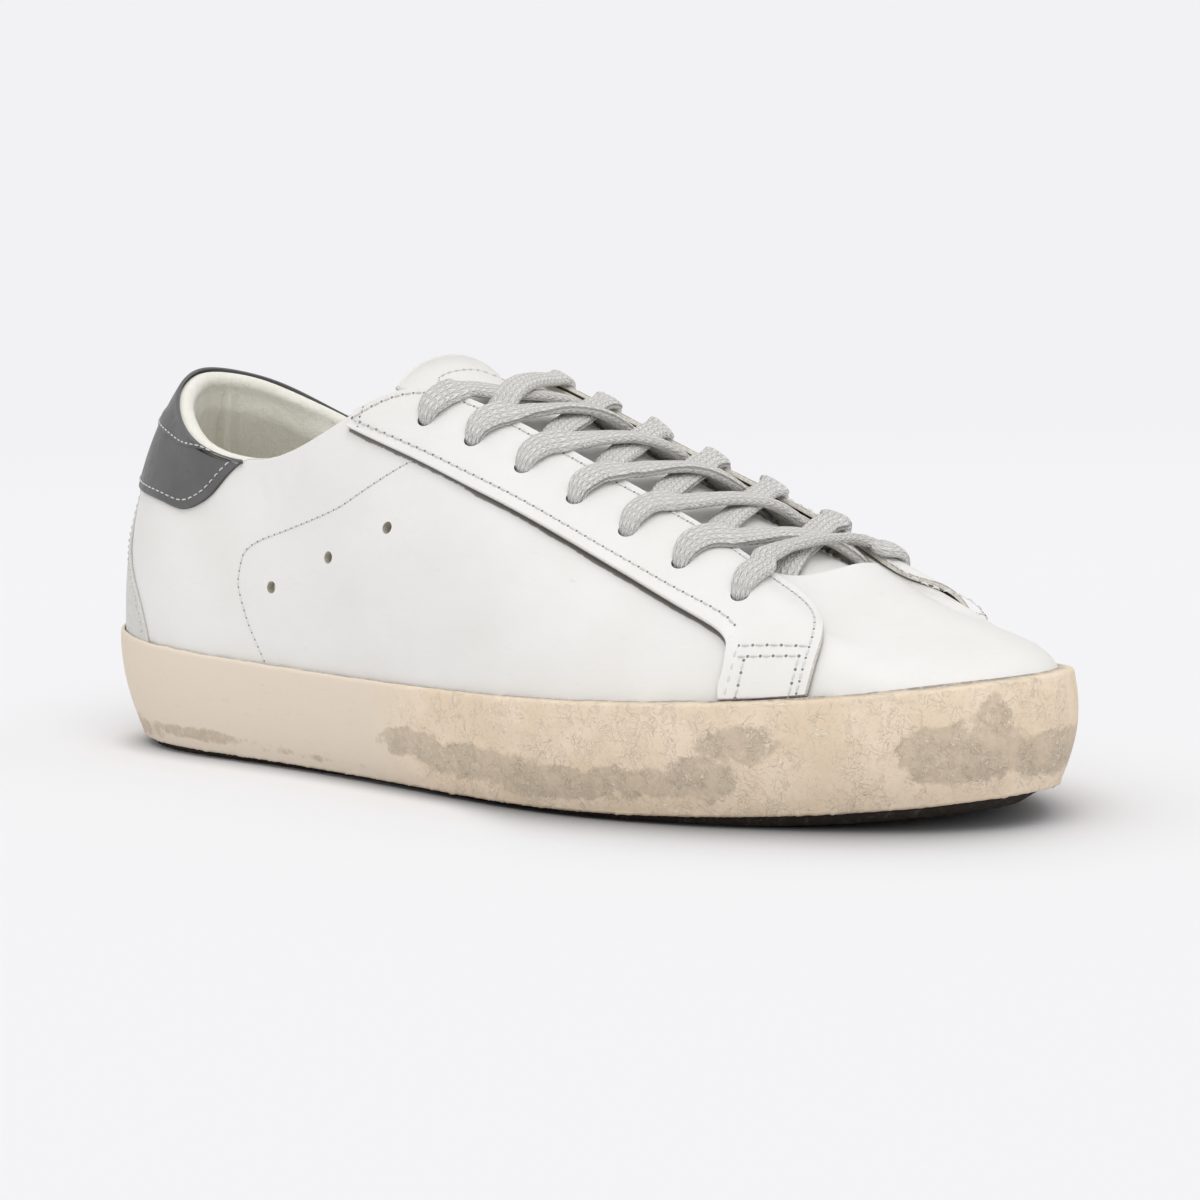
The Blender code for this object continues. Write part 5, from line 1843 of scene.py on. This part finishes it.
def make_tread():
    """The outsole: lugs between swept grooves at the heel and the ball, rough where it wears."""
    count, steps = 760, 110
    around = np.arange(count) / count
    inset = edge_inset(rim_at(around)[:, 0]) + TREAD_INSET
    seat = inset_rim(around, inset)
    tucked = inset + 0.3 + 1.2 * ground_height(rim_at(around)[:, 0])
    low = across_rows(inset_rim(around, tucked), steps)
    x = low[..., 0]
    share = np.linspace(-1, 1, steps)
    outer, inner = low[:, :1, 1], low[:, -1:, 1]
    from_edge = np.minimum(low[..., 1] - outer, inner - low[..., 1])
    swept = x - GROOVE_SWEEP * (1 - np.abs(share))
    groove = np.zeros(x.shape)
    for start, end in GROOVE_RANGES:
        phase = np.abs(np.mod(swept - start + GROOVE_STEP / 2, GROOVE_STEP) - GROOVE_STEP / 2)
        cutting = 1 - smooth_step(phase, GROOVE_WIDTH / 2 - 0.35, GROOVE_WIDTH / 2 + 0.35)
        within = (swept > start - GROOVE_WIDTH) & (swept < end)
        groove = np.maximum(groove, cutting * within)
    groove = groove * smooth_step(from_edge, GROOVE_MARGIN - 1.5, GROOVE_MARGIN)
    points = with_height(low, 0.0)
    rough = np.abs(ripple(points, 2.4, 3)) * 0.22 * (1 - 0.6 * smooth_step(from_edge, 0.0, 4.0))
    points[..., 2] = ground_height(x) + GROOVE_DEPTH * groove + rough
    top = with_height(across_rows(seat, 2), 0.0)
    top[..., 2] = edge_height(top[..., 0]) + TREAD_SEAT - GAP
    maker = MeshMaker()
    low_n, top_n = maker.add(points), maker.add(top)
    maker.grid(low_n)
    maker.grid(top_n[:, ::-1])
    for column in (0, -1):
        maker.strip(low_n[:, column], top_n[:, column])
    for row in (0, -1):
        maker.face((*low_n[row], top_n[row, 1], top_n[row, 0]))
    tread = maker.build("tread_rubber", [brown_tread()])
    keep(tread, "outsole")


def make_insole():
    """The insole: cloth over foam, its edge turned up a little along the upper."""
    count, steps = 300, 40
    around = np.arange(count) / count
    ring = inset_rim(around, np.full(count, CUP_WALL + UPPER_WALL + 2 * GAP))
    flat = across_rows(ring, steps)
    base = floor_height(flat[..., 0]) + GAP
    side = np.abs(np.linspace(-1, 1, steps))
    top = with_height(flat, 0.0)
    top[..., 2] = base + INSOLE_THICKNESS + 1.2 * side**8
    top[..., 2] += 0.25 * ripple(top, 18.0, 2)
    low = with_height(flat[:, (0, -1)], base[:, (0, -1)])
    maker = MeshMaker()
    top_n, low_n = maker.add(top), maker.add(low)
    maker.grid(top_n)
    maker.grid(low_n[:, ::-1])
    for column in (0, -1):
        maker.strip(top_n[:, column], low_n[:, column])
    for row in (0, -1):
        maker.face((*top_n[row], low_n[row, 1], low_n[row, 0]))
    insole = maker.build("insole_cloth", [cream_lining()])
    keep(insole, "insole")


# ---------------------------------------------------------------- sizes, colours and operators


def length_property(name, description, default):
    return FloatProperty(name=name, description=description, default=default, min=0.1, soft_max=20.0)


def colour_property(name, description, default):
    return FloatVectorProperty(
        name=name, description=description, default=default, size=3, subtype="COLOR", min=0.0, max=1.0
    )


class SneakerSizes(PropertyGroup):
    """Sizes of the trimmings, in millimetres."""

    lace_width: length_property("Lace width", "Width of the flat lace in millimetres", 8.0)
    lace_thickness: length_property("Lace thickness", "Thickness of the lace in millimetres", 2.9)


class SneakerColours(PropertyGroup):
    """Colours of the materials."""

    white_leather: colour_property("White leather", "Leather of the upper", (0.852, 0.842, 0.822))
    cut_edge: colour_property("Cut edge", "Raw edges of the white leather", (0.66, 0.62, 0.53))
    painted_edge: colour_property("Painted edge", "Worn edge paint of the eyestays", (0.16, 0.15, 0.14))
    dark_leather: colour_property("Dark leather", "Heel tab and strip", (0.105, 0.105, 0.107))
    suede: colour_property("Suede", "Backstay", (0.76, 0.745, 0.71))
    lining: colour_property("Lining", "Cloth inside the upper", (0.985, 0.96, 0.87))
    lace: colour_property("Lace", "Braided cotton", (0.80, 0.785, 0.75))
    rubber: colour_property("Rubber", "Clean rubber of the cup", (0.875, 0.725, 0.565))
    rubber_rear: colour_property("Rubber, rear", "Rubber at heel and waist", (0.79, 0.685, 0.565))
    rubber_stain: colour_property("Rubber stain", "Yellowed parts of the cup", (0.73, 0.575, 0.40))
    rubber_ridge: colour_property("Rubber ridges", "Pale crackle ridges", (0.98, 0.86, 0.71))
    rubber_dirt: colour_property("Rubber dirt", "Dirt rubbed into the sole", (0.56, 0.46, 0.35))
    # Real dust in seams and edges, and also painted shade in the sole's slot and along and under the
    # eyestays' edges.
    grime: colour_property("Grime", "Dust in seams and edges", (0.33, 0.30, 0.26))
    # The tread is darkened to nearly black as painted shade under the sole.
    tread: colour_property("Tread", "Rubber of the outsole", (0.035, 0.026, 0.02))
    thread: colour_property("Thread", "Sewing thread", (0.80, 0.79, 0.76))


class SneakerWear(PropertyGroup):
    """How worn the shoe is."""

    fold_depth: FloatProperty(
        name="Fold depth", description="Scale of the soft folds of the upper", default=1.0, min=0.0, max=3.0
    )


class SNEAKER_OT_cup(Operator):
    """Builds the cup of the sole"""

    bl_idname = "sneaker.cup"
    bl_label = "Cup sole"

    def execute(self, context):
        make_cup()
        return {"FINISHED"}


class SNEAKER_OT_tread(Operator):
    """Builds the outsole with its lugs"""

    bl_idname = "sneaker.tread"
    bl_label = "Outsole"

    def execute(self, context):
        make_tread()
        return {"FINISHED"}


class SNEAKER_OT_insole(Operator):
    """Builds the insole"""

    bl_idname = "sneaker.insole"
    bl_label = "Insole"

    def execute(self, context):
        make_insole()
        return {"FINISHED"}


class SNEAKER_OT_upper(Operator):
    """Builds the leather of the upper and the lining inside it"""

    bl_idname = "sneaker.upper"
    bl_label = "Upper and lining"

    def execute(self, context):
        make_upper_leather()
        make_upper_lining()
        return {"FINISHED"}


class SNEAKER_OT_eyestays(Operator):
    """Builds the eyestays on both sides of the throat"""

    bl_idname = "sneaker.eyestays"
    bl_label = "Eyestays"

    def execute(self, context):
        make_eyestays()
        return {"FINISHED"}


class SNEAKER_OT_heel(Operator):
    """Builds the heel tab, the strip folded over the collar and the suede backstay"""

    bl_idname = "sneaker.heel"
    bl_label = "Heel pieces"

    def execute(self, context):
        make_heel_strip()
        make_heel_tab()
        make_backstay()
        return {"FINISHED"}


class SNEAKER_OT_tongue(Operator):
    """Builds the tongue with the stitching near its edge"""

    bl_idname = "sneaker.tongue"
    bl_label = "Tongue"

    def execute(self, context):
        face, normal = make_tongue()
        sew("tongue", lambda *makers: stitch_tongue(*makers, face, normal), white_thread())
        return {"FINISHED"}


class SNEAKER_OT_stitching(Operator):
    """Sews the eyestays, the quarters, the heel tab and the backstay"""

    bl_idname = "sneaker.stitching"
    bl_label = "Stitching"

    def execute(self, context):
        sew("eyestays", stitch_eyestays, white_thread())
        sew("quarters", stitch_quarters, white_thread())
        sew("heel", stitch_heel, thread(), pierced=False)
        sew("backstay", stitch_backstay, thread(), pierced=False)
        return {"FINISHED"}


class SNEAKER_OT_lace(Operator):
    """Laces the shoe, from one top eyelet through all the others to the opposite one"""

    bl_idname = "sneaker.lace"
    bl_label = "Lace"

    def execute(self, context):
        make_lace()
        return {"FINISHED"}


SUN_TOWARD, SUN_ENERGY, SUN_SPREAD = (0.42, -0.38, 1.0), 0.95, 48
SKY_LOW, SKY_HIGH = 0.62, 0.86
CAMERA_TARGET = (183.1, -28.5, 49.7)
CAMERA_AZIMUTH, CAMERA_ELEVATION, CAMERA_ROLL = 41.8, 7.2, 1.43
CAMERA_DISTANCE, CAMERA_LENS = 1081.0, 132.5
BACKDROP = (0.888, 0.888, 0.905)


def make_camera():
    """The camera, level with the shoe's side and slightly rolled."""
    turn, lift, roll = (math.radians(a) for a in (CAMERA_AZIMUTH, CAMERA_ELEVATION, CAMERA_ROLL))
    level = Vector((math.cos(turn), math.sin(turn), 0.0))
    back = (math.sin(turn) * math.cos(lift), -math.cos(turn) * math.cos(lift), math.sin(lift))
    back = Vector(back)
    rise = back.cross(level)
    right = level * math.cos(roll) - rise * math.sin(roll)
    above = level * math.sin(roll) + rise * math.cos(roll)
    data = bpy.data.cameras.new("camera")
    data.lens = CAMERA_LENS
    data.sensor_width = 36.0
    data.clip_start, data.clip_end = 0.05, 60.0
    camera = bpy.data.objects.new("camera", data)
    place = (Vector(CAMERA_TARGET) + Vector(SHIFT) + back * CAMERA_DISTANCE) * MM
    turned = Matrix((right, above, back)).transposed().to_4x4()
    camera.matrix_world = Matrix.Translation(place) @ turned
    bpy.context.scene.collection.objects.link(camera)
    bpy.context.scene.camera = camera


def make_floor():
    """A wide pale floor with a painted contact shadow near the shoe, lit near the shoe and plain further
    away.
    """
    work = bmesh.new()
    bmesh.ops.create_grid(work, x_segments=4, y_segments=4, size=24.0)
    mesh = bpy.data.meshes.new("floor")
    work.to_mesh(mesh)
    work.free()
    floor = bpy.data.objects.new("floor", mesh)
    bpy.context.scene.collection.objects.link(floor)
    finish = Finish("floor", 1.0)
    finish.shader.inputs["Specular IOR Level"].default_value = 0.0
    # Painted shadow: the floor is coloured dark where the shoe hides it, most towards the toe and the outer
    # side.
    split = finish.node("ShaderNodeSeparateXYZ", {0: finish.place})
    toward_toe = finish.between(split.outputs["X"], -110.0, 40.0, 0.35, 1.0)
    outer_side = finish.between(split.outputs["Y"], -50.0, 10.0, 1.0, 0.3)
    toward_toe = finish.times(toward_toe, outer_side)
    reach = finish.between(split.outputs["X"], 0.0, 90.0, 12.0 * MM, 60.0 * MM)
    near = finish.node("ShaderNodeAmbientOcclusion", {"Distance": reach}, samples=16).outputs["AO"]
    shade = finish.times(finish.between(near, 0.3, 0.98, 1.0, 0.0), toward_toe)
    finish.colour(finish.blend(shade, (0.86, 0.86, 0.875), (0.12, 0.12, 0.12)))
    glow = finish.node("ShaderNodeEmission", {"Color": opaque(BACKDROP), "Strength": 1.0})
    away = finish.node("ShaderNodeVectorMath", {0: finish.place}, operation="LENGTH")
    away = away.outputs["Value"]
    share = finish.between(away, 420.0, 1100.0)
    share = finish.times(share, finish.node("ShaderNodeLightPath").outputs["Is Camera Ray"])
    lit = finish.shader.outputs[0]
    mixed = finish.node("ShaderNodeMixShader", {0: share, 1: lit, 2: glow.outputs[0]})
    feed(finish.tree, finish.tree.nodes["Material Output"].inputs["Surface"], mixed.outputs[0])
    mesh.materials.append(finish.material)


def make_light():
    """A soft sky that is brighter overhead, and one wide lamp above and in front."""
    world = bpy.data.worlds.new("studio")
    bpy.context.scene.world = world
    world.use_nodes = True
    tree = world.node_tree
    tree.nodes.clear()
    coordinates = add_node(tree, "ShaderNodeTexCoord")
    split = add_node(tree, "ShaderNodeSeparateXYZ", {0: coordinates.outputs["Generated"]})
    levels = {"From Min": -0.2, "From Max": 1.0, "To Min": SKY_LOW, "To Max": SKY_HIGH}
    ramp = add_node(tree, "ShaderNodeMapRange", {"Value": split.outputs["Z"], **levels})
    white = (1.0, 1.0, 1.0, 1.0)
    sky = add_node(tree, "ShaderNodeBackground", {"Color": white, "Strength": ramp.outputs["Result"]})
    plain = add_node(tree, "ShaderNodeBackground", {"Color": opaque(BACKDROP), "Strength": 1.0})
    seen = add_node(tree, "ShaderNodeLightPath").outputs["Is Camera Ray"]
    mixed = add_node(tree, "ShaderNodeMixShader", {0: seen, 1: sky.outputs[0], 2: plain.outputs[0]})
    add_node(tree, "ShaderNodeOutputWorld", {"Surface": mixed.outputs[0]})
    lamp = bpy.data.lights.new("soft_sun", "SUN")
    lamp.energy = SUN_ENERGY
    lamp.angle = math.radians(SUN_SPREAD)
    sun = bpy.data.objects.new("soft_sun", lamp)
    sun.rotation_mode = "QUATERNION"
    sun.rotation_quaternion = Vector(SUN_TOWARD).to_track_quat("Z", "Y")
    bpy.context.scene.collection.objects.link(sun)


class SNEAKER_OT_stage(Operator):
    """Sets up the pale floor, the soft light and the camera"""

    bl_idname = "sneaker.stage"
    bl_label = "Stage"

    def execute(self, context):
        context.scene.view_settings.view_transform = "Standard"
        make_floor()
        make_light()
        make_camera()
        return {"FINISHED"}


OPERATORS = (
    SNEAKER_OT_stage,
    SNEAKER_OT_cup,
    SNEAKER_OT_tread,
    SNEAKER_OT_insole,
    SNEAKER_OT_upper,
    SNEAKER_OT_eyestays,
    SNEAKER_OT_heel,
    SNEAKER_OT_tongue,
    SNEAKER_OT_stitching,
    SNEAKER_OT_lace,
)


class SNEAKER_PT_build(Panel):
    """Lists the sneaker's sizes, colours and pieces"""

    bl_idname = "SNEAKER_PT_build"
    bl_label = "Worn court sneaker"
    bl_space_type = "VIEW_3D"
    bl_region_type = "UI"
    bl_category = "Sneaker"

    def draw(self, context):
        for group in ("sneaker_sizes", "sneaker_colours", "sneaker_wear"):
            settings = getattr(context.scene, group)
            for name in settings.__annotations__:
                self.layout.prop(settings, name)
        for operator in OPERATORS:
            self.layout.operator(operator.bl_idname)


GROUPS = {
    "sneaker_sizes": SneakerSizes,
    "sneaker_colours": SneakerColours,
    "sneaker_wear": SneakerWear,
}


def register():
    for group in (*GROUPS.values(), *OPERATORS, SNEAKER_PT_build):
        bpy.utils.register_class(group)
    for name, group in GROUPS.items():
        setattr(bpy.types.Scene, name, PointerProperty(type=group))


def unregister():
    for name in GROUPS:
        delattr(bpy.types.Scene, name)
    for group in (SNEAKER_PT_build, *OPERATORS[::-1], *GROUPS.values()):
        bpy.utils.unregister_class(group)


def main():
    register()
    for operator in OPERATORS:
        name = operator.bl_idname.split(".")[1]
        getattr(bpy.ops.sneaker, name)()


if __name__ == "__main__":
    main()
